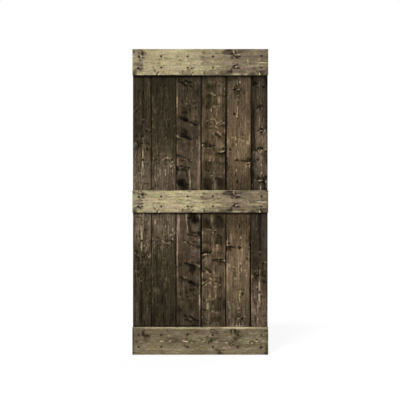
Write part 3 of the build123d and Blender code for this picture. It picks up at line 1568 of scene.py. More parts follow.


# Among the wood's own marks, the long narrow ones that run beside a board's seams are painted shade in the
# V-joints, darker or paler, and the short wide ones just under the top rail, near 1940 along, are painted
# shadow, darker or paler.
LEFT_EDGE_BOARD = marks(
    (4,1223,85,225,-100,0,-50), (8,1845,8,110,75), (18,1885,5,45,50), (8,1711,6,50,40),
    (39,1795,15,180,-30), (-13,1860,6,50,-30), (-34,1835,7,30,-30), (-41,1795,12,160,0,0,60),
    (32,1760,7,25,30), (-51,1733,8,4,60), (-38,1720,10,10,-40,0,-80), (-39,1704,6,6,90), (-51,1705,6,5,-90),
    (-17,1801,4,7,-70), (-25,1801,4,5,50), (-9,1801,4,6,60), (9,1658,8,12,60), (12,1642,10,5,-100),
    (9,1625,6,8,110), (34,1620,12,24,-20,0,-120), (-48,1634,8,5,60), (-26,1636,22,3,40),
    (-18,1588,24,24,50), (32,1580,11,4,-60,-15), (51,1571,12,5,-90,-20), (34,1560,8,7,60),
    (46,1556,6,5,-50), (59,1556,6,9,70), (-35,1526,12,12,50,0,100), (2,1529,4,14,90), (-23,1504,10,4,-50),
    (-19,1497,7,4,80), (-29,1493,5,4,-60), (-13,1488,6,4,-100), (-31,1477,6,9,120), (-14,1477,7,8,140),
    (-1,1476,5,7,100), (-20,1459,10,10,110), (-44,1476,9,5,-100,30), (-53,1461,5,14,-80),
    (-31,1447,8,12,40), (24,1494,6,12,50), (39,1477,12,7,80), (39,1439,8,12,110), (47,1431,5,7,70,-30),
    (51,1445,4,8,-50), (8,1497,4,22,-70), (19,1425,3,18,50), (24,1422,3,22,-40), (6,1405,6,36,-120),
    (-5,1399,4,32,60), (7,1361,10,5,240), (4,1340,5,13,-200), (6,1313,6,16,-130), (-5,1270,5,34,-70),
    (10,1280,4,22,-60), (2,1283,3,16,40), (29,1334,10,4,50), (-41,1312,8,6,50), (-25,1298,4,28,60),
    (-10,1298,3,26,50), (-24,1176,5,30,60), (-7,1188,5,36,-50), (24,1196,8,4,80), (40,1195,8,4,80),
    (10,1247,6,8,60), (-53,1298,8,160,-40), (-11,1248,3,100,30), (-60,1529,6,40,40), (-28,1491,4,8,80),
    (-17,1487,6,7,100), (3,1494,3.5,10,100), (4,1479,3,5,80), (3,1524,5,5,60), (-10,1449,6,14,50),
    (45,1467,8,5,60), (60,1439,6,14,50), (40,1499,14,12,20), (-3,1384,5,14,50), (-4,1339,4,25,60),
    (-18,1344,4,18,40), (18,1394,4,14,35), (17,1329,6,8,70), (18,1314,4,8,50), (38,1327,4,8,50),
    (57,1394,4,30,35), (-25,1299,4,25,40), (-20,1282,6,8,60), (-10,1277,5,8,40), (-23,1259,5,8,50),
    (-7,1199,5,20,35), (20,1274,3,14,40), (33,1244,5,8,50), (32,1214,5,8,40), (33,1184,4,18,35),
    (5,1164,4,14,60), (-27,1159,4,10,60), (-10,1559,5,12,35), (-25,1559,14,10,25), (32,1559,5,14,35),
    (-38,1469,8,10,-80), (-32,1454,6,10,-40), (-25,1479,4,5,-80), (-35,1514,10,10,-25),
    (-35,1399,12,30,-20), (-10,1397,4,10,-90), (32,1462,5,8,-70), (12,1464,5,8,-50), (12,1516,7,6,-40),
    (-9,1516,3,6,-60), (4,1364,4,5,-60), (17,1362,5,5,-70), (67,1429,5,12,-80), (67,1399,4,40,-30),
    (-45,1314,6,10,-40), (-30,1329,4,10,-50), (28,1344,12,8,-25), (48,1307,5,8,-40), (-45,1239,14,14,-30),
    (-55,1199,8,50,-30), (-15,1214,14,8,-25), (13,1257,5,8,-40), (65,1204,6,20,-50), (60,1164,14,8,-50),
    (45,1529,4,14,-35),
)

BOARD_2 = marks(
    (3,1223,110,215,-100,0,-100), (-55,1845,24,45,35,0,100), (-2,1765,22,60,20,0,100),
    (63,1865,16,60,30,0,100), (-42,1925,30,18,0,0,-80), (-69,1900,6,28,40), (1,1895,5,46,50),
    (-9,1778,5,28,50), (-75,1785,5,24,-40,0,80), (-42,1810,8,8,-30), (18,1742,9,6,-40,0,-80),
    (-42,1711,22,26,-60), (-63,1750,9,20,-30), (-62,1704,10,26,-30,0,-60), (18,1708,8,12,50),
    (7,1668,4,28,-60,0,-50), (-47,1677,22,3,40), (-13,1664,6,14,40), (20,1632,5,18,-90,0,-50),
    (36,1644,11,5,-50), (-75,1646,6,12,-60), (-74,1596,7,20,-60,0,100), (-11,1601,11,40,-45),
    (13,1596,3,24,40), (22,1594,3,24,-50), (75,1602,12,8,-50), (-30,1579,9,8,-40,0,80), (41,1578,9,12,-30),
    (-8,1546,4,50,-50), (-84,1566,5,30,-60), (11,1511,11,8,-40,0,80), (20,1536,5,9,50,0,-120),
    (28,1518,4,16,50), (-55,1481,12,20,30), (-33,1463,11,13,-50), (-15,1487,3,22,40), (-63,1447,6,8,-30),
    (-17,1409,5,18,-60), (-1,1403,5,10,-60), (-33,1413,8,5,50), (-37,1391,12,6,50), (-27,1398,5,4,-40),
    (-75,1429,5,20,-40), (-64,1397,5,16,-70,15), (-69,1372,7,8,-80), (-82,1360,5,12,80), (-73,1346,5,7,-80),
    (-47,1363,10,8,50), (-47,1352,8,3,-40), (-27,1357,8,8,40), (-42,1338,16,5,70), (-55,1324,6,8,30),
    (-1,1364,15,5,-80,42), (27,1376,15,4,-110), (45,1370,8,4,-70,-30), (21,1388,14,5,50), (17,1359,14,9,40),
    (55,1361,12,10,80), (39,1354,10,4,40), (63,1346,5,8,-110), (65,1334,5,4,80), (70,1327,4,7,-90),
    (53,1318,8,5,-140,-15), (42,1329,4,7,-50), (13,1328,15,6,45), (13,1313,8,6,-30), (75,1307,5,8,-80),
    (53,1300,10,5,50), (64,1284,5,14,-90), (34,1288,4,50,-50), (-9,1303,4,18,50), (11,1287,5,12,-80),
    (13,1260,4,12,-120), (5,1260,3,16,60), (-25,1288,10,18,-40), (-33,1256,20,18,-40,0,120),
    (-57,1226,6,20,-80,10), (-77,1268,8,34,50), (-27,1178,24,26,55,0,60), (-63,1170,13,20,50),
    (5,1198,12,40,25), (63,1218,6,30,-35), (89,1238,5,90,80), (0,1905,100,50,17),
)

BOARD_3 = [
    *marks(
        (2,1249,110,200,-35), (-81,1746,5,180,-70), (-80,1775,5,26,-80), (-78,1733,6,8,-50),
        (-60,1924,20,4,80), (-40,1936,8,6,70), (-56,1904,22,5,110,-22), (-42,1896,10,7,80,-20),
        (-25,1882,13,5,120,-35), (-15,1911,14,5,140,-28), (12,1902,15,5,140), (20,1874,13,5,120,-35),
        (-3,1882,12,5,40), (-18,1901,9,4,-80,-20), (-31,1862,8,16,-30), (70,1904,8,18,-30),
        (64,1834,14,30,40), (-23,1808,18,30,30), (38,1775,12,9,-50), (-16,1754,6,7,-60), (-10,1764,12,5,40),
        (6,1740,7,9,70), (51,1725,6,14,60), (-40,1725,9,9,50), (-25,1694,22,16,60), (12,1699,5,25,70),
        (33,1672,12,50,-50), (64,1677,14,55,-35), (-61,1697,9,40,-20), (-43,1654,28,12,80,-18),
        (14,1622,17,4,80,-8), (44,1609,18,5,160,-33), (44,1631,17,3,60,5), (20,1603,18,6,-50,-15,-80),
        (-64,1615,7,25,-30), (72,1583,8,20,-40), (-30,1557,22,18,80), (-23,1521,26,6,120,-14),
        (14,1507,14,7,100,-8), (62,1514,8,10,30), (-78,1527,9,9,-80), (-64,1518,18,4,-50,-18),
        (-70,1503,14,6,70), (-10,1488,45,6,-20,0,-80), (-40,1461,14,7,50), (8,1476,8,40,25),
        (-48,1429,18,16,-20,0,-80), (75,1438,7,140,-80,0,-30), (68,1289,12,70,-40,0,-50),
        (70,1199,13,70,-50,0,-50), (-80,1438,6,40,-50,0,-60), (-76,1343,5,40,-60,0,-60),
        (-74,1391,14,9,100,-20), (-38,1381,24,5,90,-25), (-25,1372,8,5,30,-25,-140), (5,1359,15,5,90,-30),
        (22,1348,7,4,90), (18,1356,5,4,-120), (-43,1357,15,6,80), (-18,1362,6,5,-60),
        (-27,1334,7,6,50,0,-140), (-51,1317,9,5,110), (-22,1311,26,4,100,-12), (0,1304,11,5,90),
        (-38,1294,24,6,100), (-58,1264,15,15,-35), (-12,1264,10,26,60), (5,1269,6,28,-60),
        (11,1199,5,50,-90), (-30,1164,28,22,140), (-6,1189,14,8,130,-8), (-56,1189,4,5,-120),
        (-83,1184,4,15,-60,0,60), (-56,1940,20,5,60), (-18,1909,8,6,80), (-71,1909,6,6,70),
        (-43,1905,8,7,50), (14,1901,7,5,60), (-16,1877,6,6,60), (19,1874,10,5,50), (51,1833,6,14,50),
        (-43,1772,6,18,50), (-11,1850,14,20,20), (24,1850,8,20,20), (-77,1720,4,12,50), (6,1713,6,8,60),
        (-21,1695,10,6,50), (-41,1686,8,6,50), (-79,1655,4,15,50), (-48,1650,10,10,40), (-26,1665,15,8,40),
        (-15,1634,14,7,140), (-26,1640,10,8,50), (39,1740,18,14,-30), (62,1742,6,12,-40),
        (-13,1517,14,6,110), (-46,1545,10,8,60), (-16,1557,12,6,60), (-73,1545,6,8,40), (75,1532,6,6,50),
        (57,1515,4,12,40), (-1,1507,6,6,60), (69,1460,4,14,60), (69,1490,4,14,30), (-31,1385,12,20,-35),
        (-56,1415,12,14,-30), (-58,1335,10,12,-35), (34,1362,12,12,-25), (-51,1465,12,10,-30),
        (-29,1365,5,8,-40), (-73,1291,6,8,100), (-26,1284,12,7,50), (-29,1303,10,6,40), (-3,1240,4,25,50),
        (16,1250,4,30,40), (-81,1265,6,8,70), (-53,1190,18,14,130), (-46,1210,18,12,60), (-71,1205,6,16,70),
        (-21,1175,6,6,80), (-1,1215,14,16,40), (-21,1190,8,8,50), (-79,1155,8,12,-60), (44,1190,18,25,-25),
        (64,1210,8,30,-25), (74,1270,6,40,-20),
    ),
    Knot(42, 1754, 7, 7, 0.8),
    Knot(-22, 1642, 20, 9, 1.6),
    Knot(-30, 1533, 24, 14, 1.1),
    Knot(-80, 1302, 9, 17, 1.6),
    Knot(-50, 1205, 25, 24, 1.8),
]

BOARD_4 = [
    *marks(
        (2,1637,100,190,-25), (2,1448,100,150,-15), (85,1547,4,420,120), (-84,1826,4,100,80),
        (-62,1931,16,16,50,0,60), (-18,1903,32,5,-30), (-28,1868,24,22,65,0,140), (4,1868,12,22,30,0,80),
        (20,1901,7,5,90), (14,1866,4,28,50), (38,1896,12,5,-50,-8), (57,1889,9,4,-50), (62,1900,10,5,40),
        (44,1881,9,4,30), (32,1851,7,30,-35), (52,1841,8,28,-40,0,40), (72,1844,6,26,30),
        (78,1859,4,6,-110), (78,1819,4,5,-60), (70,1804,14,6,50), (-12,1824,28,5,-50,-10),
        (7,1812,12,4,-80,-20), (20,1811,4,4,100), (10,1802,8,3,90), (-30,1808,18,12,60), (-74,1771,8,30,60),
        (-32,1761,26,34,50,0,70), (4,1758,12,16,50), (-4,1781,6,18,-20), (40,1781,9,28,-90,0,50),
        (54,1784,6,22,-20,0,-80), (32,1748,9,4,60), (68,1741,11,10,40), (0,1731,26,6,-60,14),
        (42,1738,13,8,-50), (-16,1710,5,13,-90), (-6,1705,5,10,40), (22,1689,7,30,-40,0,30),
        (-10,1665,9,22,-30,0,30), (-63,1679,14,42,-10,0,-120), (-43,1667,8,20,30,0,60), (-6,1645,18,5,-60),
        (-78,1617,6,42,-35,0,50), (-43,1634,5,6,-70), (2,1634,5,4,60), (22,1617,7,8,-120),
        (16,1632,7,5,-60), (47,1625,20,4,-70,30), (52,1621,12,3,100,32), (68,1632,10,5,100,30),
        (70,1618,12,5,-80,15), (62,1599,14,7,80), (-48,1587,10,15,60), (-18,1609,11,4,60),
        (-6,1597,14,5,-40), (-23,1579,9,4,50), (22,1587,14,4,-80,-50), (-18,1568,18,5,-50,0,-50),
        (78,1559,5,20,-90,0,50), (-3,1547,10,12,-50), (-16,1535,6,8,50), (40,1547,24,4,-100,-38),
        (22,1541,14,9,80,-35), (44,1520,20,6,110,-30), (70,1537,9,4,90), (-78,1527,6,40,-40,0,50),
        (-70,1475,14,3,90), (-77,1463,5,10,-90,0,-60), (-78,1388,6,70,-50), (-51,1478,14,14,70,0,120),
        (-32,1455,36,4,130,0,80), (-36,1463,8,4,-90), (-6,1461,18,7,90,0,60), (-38,1442,8,5,-60),
        (-36,1433,7,4,50), (-46,1410,20,8,35), (5,1433,5,12,60), (44,1468,22,28,-40,0,-40),
        (69,1461,5,5,-90), (54,1451,11,4,-40,30), (70,1437,12,5,110,28), (62,1420,18,4,-130,12,40),
        (36,1418,12,5,-30,0,60), (52,1405,26,5,150,-2), (82,1411,9,5,140), (54,1390,28,10,50,0,-40),
        (17,1398,5,9,50), (62,1360,18,9,-20,0,40), (-30,1383,18,18,-35,0,30), (-1,1378,6,40,-45),
        (-28,1356,8,6,-100), (-50,1348,8,10,50), (-26,1330,14,20,60), (-53,1316,6,26,60),
        (-28,1305,10,5,60), (52,1336,24,12,40), (12,1282,6,4,80), (-1,1291,4,10,40), (4,1269,8,10,-50),
        (-13,1260,9,4,90), (-13,1251,11,4,-90,20), (76,1274,5,32,-80), (37,1246,20,4,-60,-6),
        (17,1233,8,8,90), (47,1203,26,30,90,0,-30), (-36,1194,30,44,80), (-28,1159,26,18,50),
        (-10,1198,4,6,70), (3,1229,5,14,-40), (12,1174,8,34,-70,0,50), (-61,1905,14,14,30),
        (12,1888,8,5,40), (59,1810,20,5,50), (-49,1861,8,6,40), (-46,1800,14,10,30), (-16,1795,5,14,25),
        (-49,1730,8,14,60), (-31,1725,25,8,45), (-77,1740,4,14,40), (-48,1648,12,12,45), (-44,1617,6,8,90),
        (13,1618,5,8,70), (49,1593,8,5,40), (-56,1600,5,14,35), (14,1578,8,8,35), (71,1590,6,8,35),
        (82,1740,4,60,-50), (29,1715,12,12,-45), (59,1636,8,6,-45), (-16,1620,10,10,-45),
        (-19,1645,8,14,-30), (7,1858,8,12,-35), (-81,1862,5,14,-40), (49,1607,10,5,-35),
        (-46,1468,14,4,100), (-29,1466,7,7,110), (-56,1455,14,4,90), (-84,1445,5,8,90), (-71,1475,10,4,60),
        (44,1406,18,3.5,110), (74,1410,10,6,80), (19,1412,6,6,50), (29,1400,30,8,25), (-16,1510,4,20,40),
        (82,1500,3,40,70), (-84,1510,3,30,40), (59,1538,8,7,50), (19,1535,10,10,35), (61,1495,6,10,35),
        (-41,1490,8,8,35), (-61,1330,25,30,30), (-51,1295,12,12,50), (-29,1285,10,10,50), (-14,1342,5,6,60),
        (24,1345,6,10,40), (-66,1225,10,10,50), (-63,1185,12,30,50), (-49,1175,8,16,40), (-36,1222,7,6,60),
        (-39,1155,14,6,80), (34,1228,18,6,40), (59,1175,20,25,35), (59,1225,14,6,40), (-83,1250,4,30,70),
        (83,1250,4,110,80), (-26,1370,6,18,-45), (11,1310,5,22,-50), (4,1288,8,8,-40), (-14,1385,10,12,-35),
        (-6,1165,8,14,-40), (61,1348,14,10,-35), (59,1270,20,12,-25), (-6,1460,6,8,-40),
    ),
    Knot(-37, 1286, 7, 6, 0.8),
]

BOARD_5 = marks(
    (3,1498,105,260,-60), (-81,1557,4,420,120), (-63,1922,20,16,80,0,40), (-73,1889,9,34,40),
    (-17,1932,26,9,40,0,120), (-30,1892,8,24,-40), (-9,1896,4,20,-70,0,40), (-16,1885,3,12,60),
    (-9,1874,8,4,80), (11,1908,5,14,-70), (3,1896,3,24,50), (63,1889,22,50,-15), (-27,1853,7,6,220),
    (-39,1862,7,5,-70), (-41,1852,6,3,80), (-17,1862,11,4,80,-20), (1,1853,11,3,-120), (20,1858,9,12,50),
    (-9,1844,16,4,60), (-3,1832,18,9,60,0,70), (-7,1817,16,4,90), (-1,1810,9,4,-90), (9,1802,10,4,60),
    (-21,1802,6,12,50), (-6,1781,6,8,-90), (36,1833,14,14,45,0,-60), (63,1834,7,20,-50),
    (61,1786,7,36,-50,0,50), (70,1741,9,44,-35), (-9,1712,4,34,-80,0,50), (-11,1687,6,12,-50),
    (0,1697,3,34,40), (-29,1681,7,8,200,0,-100), (-30,1697,7,5,0,0,-120), (-11,1663,8,6,-90),
    (-9,1651,9,4,80), (-37,1650,6,6,40), (-61,1640,10,26,0,0,-120), (48,1602,6,46,-60,0,50),
    (35,1637,6,24,30), (69,1627,6,16,-50), (-74,1776,4,150,-40,0,-60), (-76,1498,5,90,-50,0,100),
    (-58,1547,8,24,-20,0,-130), (-14,1547,4,42,40), (-19,1513,5,14,-100), (-42,1517,9,4,-90),
    (27,1537,13,9,60), (13,1501,12,6,-50,-20), (30,1510,4,9,80), (36,1495,5,10,-90,-20),
    (64,1481,6,14,-80,25), (76,1508,5,44,-70), (55,1519,8,18,25), (-14,1486,5,9,80), (-15,1468,5,7,-90),
    (0,1473,4,40,-50), (-42,1463,8,12,40), (-57,1432,5,5,280,0,-100), (-64,1444,7,4,100,-40),
    (-49,1442,5,4,-50), (-59,1419,9,4,0,0,-150), (-63,1406,9,12,40), (73,1438,9,26,25), (-27,1381,8,22,-35),
    (2,1388,7,24,-30), (-9,1360,8,7,180), (-21,1356,7,4,70), (1,1351,9,4,90,-30), (35,1355,22,7,90),
    (69,1366,16,13,90,0,100), (61,1350,20,6,130), (83,1360,8,14,60), (-77,1355,6,6,-110),
    (-81,1323,5,50,80), (76,1342,11,4,-150,8), (66,1327,7,6,130), (79,1318,4,16,-100), (56,1318,5,9,-60),
    (-62,1309,18,12,45), (50,1289,7,44,-35,0,40), (-15,1287,5,9,-100), (-21,1257,5,18,60),
    (-7,1208,4,12,200), (43,1189,22,36,-20), (-47,1264,14,10,30), (3,1184,110,50,15), (-85,1925,4,12,80),
    (-85,1895,4,18,40), (-85,1790,4,40,40), (-71,1760,4,50,30), (-29,1853,7,6,90), (-31,1867,8,5,50),
    (-19,1830,7,6,70), (14,1852,6,6,100), (4,1843,10,5,50), (9,1811,8,5,70), (-9,1790,8,14,35),
    (-6,1755,4,22,50), (-13,1698,5,10,80), (-16,1885,4,10,30), (64,1795,6,12,35), (49,1600,5,40,40),
    (-4,1660,6,12,35), (8,1935,6,12,-80), (8,1905,5,12,-60), (-46,1840,6,10,-40), (-6,1935,10,8,-35),
    (37,1890,8,18,-25), (65,1740,4,30,-30), (-81,1560,5,20,-40), (-79,1490,5,20,-25), (-79,1400,7,25,-70),
    (-83,1330,6,8,-60), (-83,1308,6,14,-80), (-77,1225,6,22,-35), (59,1520,12,8,-40), (14,1470,4,18,-40),
    (-6,1410,3,20,-30), (-41,1268,14,8,-40), (9,1345,6,10,-35), (-29,1330,6,14,-35), (67,1320,4,8,-70),
    (44,1545,4,14,-40), (-1,1205,5,10,-35), (-21,1230,5,8,-40), (-14,1512,4,14,70), (41,1500,5,6,80),
    (51,1385,5,35,45), (21,1555,12,8,35), (-69,1433,4,5,70), (-55,1433,4,5,70), (-49,1447,6,4,50),
    (-71,1360,4,20,40), (-21,1390,6,14,20), (-6,1360,8,6,50), (54,1365,5,8,40), (59,1322,8,4,60),
    (83,1300,4,45,110), (-70,1288,4,12,35), (-6,1210,5,8,60), (24,1200,8,30,15), (-49,1170,4,12,40),
)

RIGHT_EDGE_BOARD = marks(
    (8,1427,60,240,-85), (-49,1636,12,140,70), (-49,1298,10,170,80), (56,1536,5,400,70),
    (-39,1636,9,110,55), (-47,1930,12,26,90), (-35,1895,20,32,60), (-43,1883,8,10,70), (-21,1893,9,6,90),
    (-19,1880,11,3,-140), (-19,1871,10,3,80), (-37,1866,6,5,-50), (1,1887,5,26,-40), (28,1888,11,3,-90),
    (30,1872,9,7,140), (53,1907,7,28,140), (39,1927,10,12,50), (3,1810,20,50,-30), (5,1825,5,20,-30,0,-80),
    (11,1752,5,4,-50), (1,1737,6,8,120), (21,1740,7,5,110), (-11,1727,9,4,100,30), (7,1725,5,7,110),
    (28,1730,4,8,90,25), (-6,1720,7,4,-70), (19,1720,9,4,-80), (-15,1707,9,6,-50), (11,1706,8,5,-30),
    (-5,1671,6,40,-30), (28,1668,6,20,50), (1,1624,5,40,-80), (22,1590,5,6,-80), (15,1580,7,5,220),
    (3,1573,7,4,80,20), (23,1571,10,3,100,-10), (11,1565,8,3,-140), (-8,1566,9,4,60,10,-80),
    (16,1553,10,7,160), (38,1565,7,9,-120), (50,1621,4,70,50), (48,1586,8,8,80), (47,1541,8,16,-50),
    (-7,1544,7,14,-30), (33,1502,12,30,-30,0,-60), (-5,1487,10,20,-40), (-35,1512,6,40,50),
    (-37,1439,22,16,70,0,60), (-3,1446,9,5,170,30), (13,1447,9,6,190,-40), (-14,1432,9,4,110,40),
    (23,1438,6,4,110,-30), (6,1433,4,6,100), (-5,1428,6,4,-180), (15,1428,6,4,-160), (7,1416,6,6,-130),
    (41,1434,12,4,-80), (48,1418,6,7,110), (44,1395,8,28,60), (-37,1417,12,4,-70), (-23,1402,12,14,-30),
    (-9,1364,9,7,70), (-33,1348,18,7,50), (9,1367,6,24,-40), (15,1328,5,10,-90), (21,1337,4,8,50),
    (-39,1263,6,30,50), (14,1270,6,7,-100), (31,1256,8,10,-50), (-3,1233,13,5,140,10), (-12,1225,6,4,90),
    (6,1224,12,3,120), (3,1216,19,3,-200), (29,1234,8,6,130,30), (45,1242,8,9,130,35), (32,1220,6,6,130),
    (36,1228,4,3,-120), (5,1207,17,4,160), (25,1206,9,5,150), (37,1194,6,10,100), (49,1209,6,9,-100),
    (-23,1218,5,5,-80), (-17,1210,6,3,80), (9,1166,5,20,-120), (43,1173,10,26,40), (-55,1699,5,60,-50),
    (-43,1614,5,35,-70), (-39,1894,8,14,110), (-29,1904,6,6,70), (-48,1924,4,8,70), (-19,1884,8,6,70),
    (-46,1854,6,14,40), (-34,1829,4,14,35), (26,1892,6,4,70), (25,1869,8,8,70), (51,1929,5,14,70),
    (49,1899,8,18,90), (51,1859,6,30,40), (51,1704,4,10,70), (51,1669,4,30,35), (11,1739,8,8,35),
    (9,1719,8,6,40), (14,1574,8,7,110), (29,1564,5,5,90), (29,1594,5,10,35), (19,1634,6,10,25),
    (29,1739,4,8,-60), (39,1719,5,8,-35), (11,1761,8,10,-35), (-13,1799,8,30,-25), (-11,1699,10,16,-35),
    (2,1779,4,12,-40), (39,1829,8,20,-30), (-6,1599,6,10,-50), (21,1614,5,10,-40), (4,1944,40,5,-50),
    (-1,1534,8,30,-50), (1,1514,6,10,-40), (29,1551,5,6,-70), (9,1664,8,8,-35), (-43,1464,8,14,60),
    (-36,1479,5,8,40), (-14,1464,5,10,50), (-6,1442,5,7,110), (16,1439,8,6,120), (-31,1424,14,6,60),
    (-13,1429,8,5,40), (9,1424,5,6,40), (-55,1419,3,12,100), (-36,1362,5,12,60), (-16,1364,7,10,50),
    (49,1354,8,14,70), (29,1394,6,14,40), (19,1404,8,14,25), (-41,1329,8,8,40), (22,1329,4,6,40),
    (27,1519,4,18,35), (14,1537,7,6,60), (-56,1529,3,12,60), (-41,1254,8,10,35), (-36,1237,14,6,40),
    (-6,1244,5,8,80), (-11,1221,8,5,120), (16,1242,6,8,50), (29,1231,6,5,110), (41,1239,5,6,110),
    (36,1221,5,8,90), (1,1207,6,5,120), (21,1207,5,5,110), (31,1202,5,5,70), (14,1182,8,6,40),
    (-26,1159,14,8,30), (-54,1204,4,12,90), (1,1451,5,6,-120), (-1,1399,4,14,-50), (-21,1294,4,8,-70),
    (-14,1264,4,14,-40), (2,1342,8,10,-25), (47,1289,8,40,-30), (34,1242,6,5,-90), (-15,1208,6,6,-90),
    (43,1204,7,12,-70), (49,1179,5,20,-100), (-48,1184,4,16,-80), (-11,1159,5,14,-60), (-56,1349,4,8,-80),
    (-43,1299,8,20,-30), (14,1369,5,14,-35), (47,1459,8,8,-50), (44,1514,5,8,-35),
)

UPPER_RAIL = marks(
    (85,335,260,190,66), (85,75,260,110,27), (94,-431,90,34,20), (151,-402,20,9,110),
    (154,-389,18,14,40,0,50), (175,-429,5,5,50), (176,-413,5,5,60), (152,-433,7,12,45), (166,-444,7,6,35),
    (149,-424,5,7,40), (134,-425,5,5,40), (124,-427,5,8,90), (133,-413,9,4,-40), (107,-423,7,7,60),
    (100,-409,5,11,60,10), (89,-427,4,8,40), (79,-403,10,5,30), (74,-436,6,7,70), (68,-415,4,9,90,-20),
    (74,-404,5,6,60), (50,-433,8,8,110), (41,-423,8,9,100), (39,-405,10,12,40), (31,-415,5,5,70),
    (14,-458,24,16,60,0,60), (162,-459,16,9,45), (80,-457,7,10,30), (54,-419,4,5,-50), (3,-420,4,20,-40),
    (137,-370,4,32,20,0,-60), (174,-325,6,60,20), (111,-340,6,30,-20), (79,-315,6,26,35),
    (39,-320,6,18,40,55), (14,-296,5,14,80,-60), (5,-290,7,4,-110), (108,-284,6,5,50),
    (164,-195,8,110,-20,0,40), (139,-200,6,50,-15,0,-80), (59,-145,3,50,-30), (127,-157,6,8,30),
    (109,-141,5,11,80), (100,-128,4,9,35), (81,-143,6,8,25), (11,-93,20,36,50), (14,-124,14,4,50),
    (32,-81,7,18,35), (38,-107,4,6,-60), (3,-52,5,5,-80), (18,-52,6,5,70), (47,-60,6,5,110),
    (50,-47,12,4,30), (106,-81,7,8,30), (64,-15,7,40,-20), (32,-17,8,26,-25), (94,3,3,14,-60),
    (94,-45,3,50,-20), (159,23,9,9,50,0,-80), (156,60,6,26,30), (154,115,7,14,40), (129,15,8,18,35),
    (108,31,6,12,25), (82,20,6,6,50), (101,80,3,30,-40), (64,130,4,18,-30), (16,29,9,6,90), (32,80,5,28,25),
    (8,85,10,36,35), (8,155,12,34,65), (19,200,17,24,70), (39,218,14,7,70), (164,195,14,28,80),
    (153,217,11,11,90), (158,168,14,15,50), (164,235,14,3,-100), (137,234,6,6,140), (128,247,4,10,120),
    (123,260,5,9,120), (129,275,6,6,150), (122,222,8,8,80,0,80), (116,229,4,6,40), (160,273,8,30,50,0,-80),
    (152,253,4,18,50), (171,290,5,40,20,0,80), (144,261,3,16,-50), (73,259,4,8,140), (67,243,5,8,120,-30),
    (81,231,4,8,50), (58,231,7,6,120), (49,238,5,9,110), (58,252,7,8,-80), (45,257,4,12,100,0,80),
    (48,274,6,5,120), (6,250,7,28,-60,0,60), (4,317,6,14,-80), (24,285,5,36,45), (79,350,9,7,60),
    (95,331,16,4,-50), (47,380,6,14,40), (12,360,14,26,50,0,60), (137,431,5,6,80), (109,429,7,4,60),
    (87,433,3,46,-90,0,-40), (96,435,3,44,30), (54,415,3,9,60), (62,430,4,8,-40), (24,398,5,12,90,45),
    (22,419,10,7,70), (28,445,9,18,70), (4,429,9,8,110), (9,457,13,16,60), (10,413,10,4,-140,-20),
    (114,467,40,12,35), (24,469,40,10,40), (149,-409,10,12,80), (149,-382,4,14,50), (121,-399,6,12,90),
    (164,-429,9,8,40), (174,-414,6,6,80), (164,-466,14,5,80), (69,-449,6,25,35), (45,-439,6,14,80),
    (51,-409,8,10,90), (79,-423,5,4,80), (67,-415,4,5,80), (21,-454,22,14,45), (7,-464,8,8,60),
    (99,-423,4,4,60), (122,-424,4,5,100), (9,-302,12,4,90), (29,-317,12,6,50), (79,-289,5,8,50),
    (89,-254,10,25,-35), (179,-149,5,30,-30), (174,206,8,30,90), (147,196,6,25,70), (149,227,10,8,90),
    (164,241,12,6,100), (149,248,14,6,50), (134,219,10,10,40), (117,253,5,6,70), (64,240,8,5,120),
    (56,226,6,5,70), (24,201,6,30,50), (21,217,8,10,60), (177,463,8,12,80), (178,291,4,60,30),
    (114,446,15,15,40), (24,421,8,10,80), (9,408,7,4,70), (14,435,10,8,70), (101,291,4,30,-35),
    (74,346,18,18,-30), (67,391,8,40,-40), (164,381,12,30,-35), (19,341,16,25,-40), (144,381,10,15,-30),
    (171,-74,3,18,40), (154,21,8,14,40), (149,39,8,18,25), (124,11,12,14,30), (119,46,14,40,25),
    (154,156,6,14,50), (107,99,6,8,40), (114,131,6,14,35), (95,-79,4,28,40), (45,-109,4,5,60),
    (27,-124,7,12,60), (16,-144,6,5,70), (45,-60,4,5,80), (31,21,4,14,50), (17,51,5,5,50), (44,141,3,25,40),
    (24,151,8,14,50), (4,-61,4,5,50), (149,121,6,14,30), (171,-139,5,20,-35), (114,-139,4,14,-70),
    (114,-99,4,8,-40), (114,-76,4,6,-50), (142,-19,4,20,-25), (101,46,3,8,-40), (84,-89,6,14,-35),
    (99,-24,6,14,-30), (79,-17,8,20,-25), (74,74,5,4,-50), (87,86,5,14,-35), (65,126,4,28,-30),
    (94,126,4,14,-30), (39,-34,8,30,-35), (14,16,7,5,-60), (59,-129,4,14,-30), (14,111,4,12,-30),
)

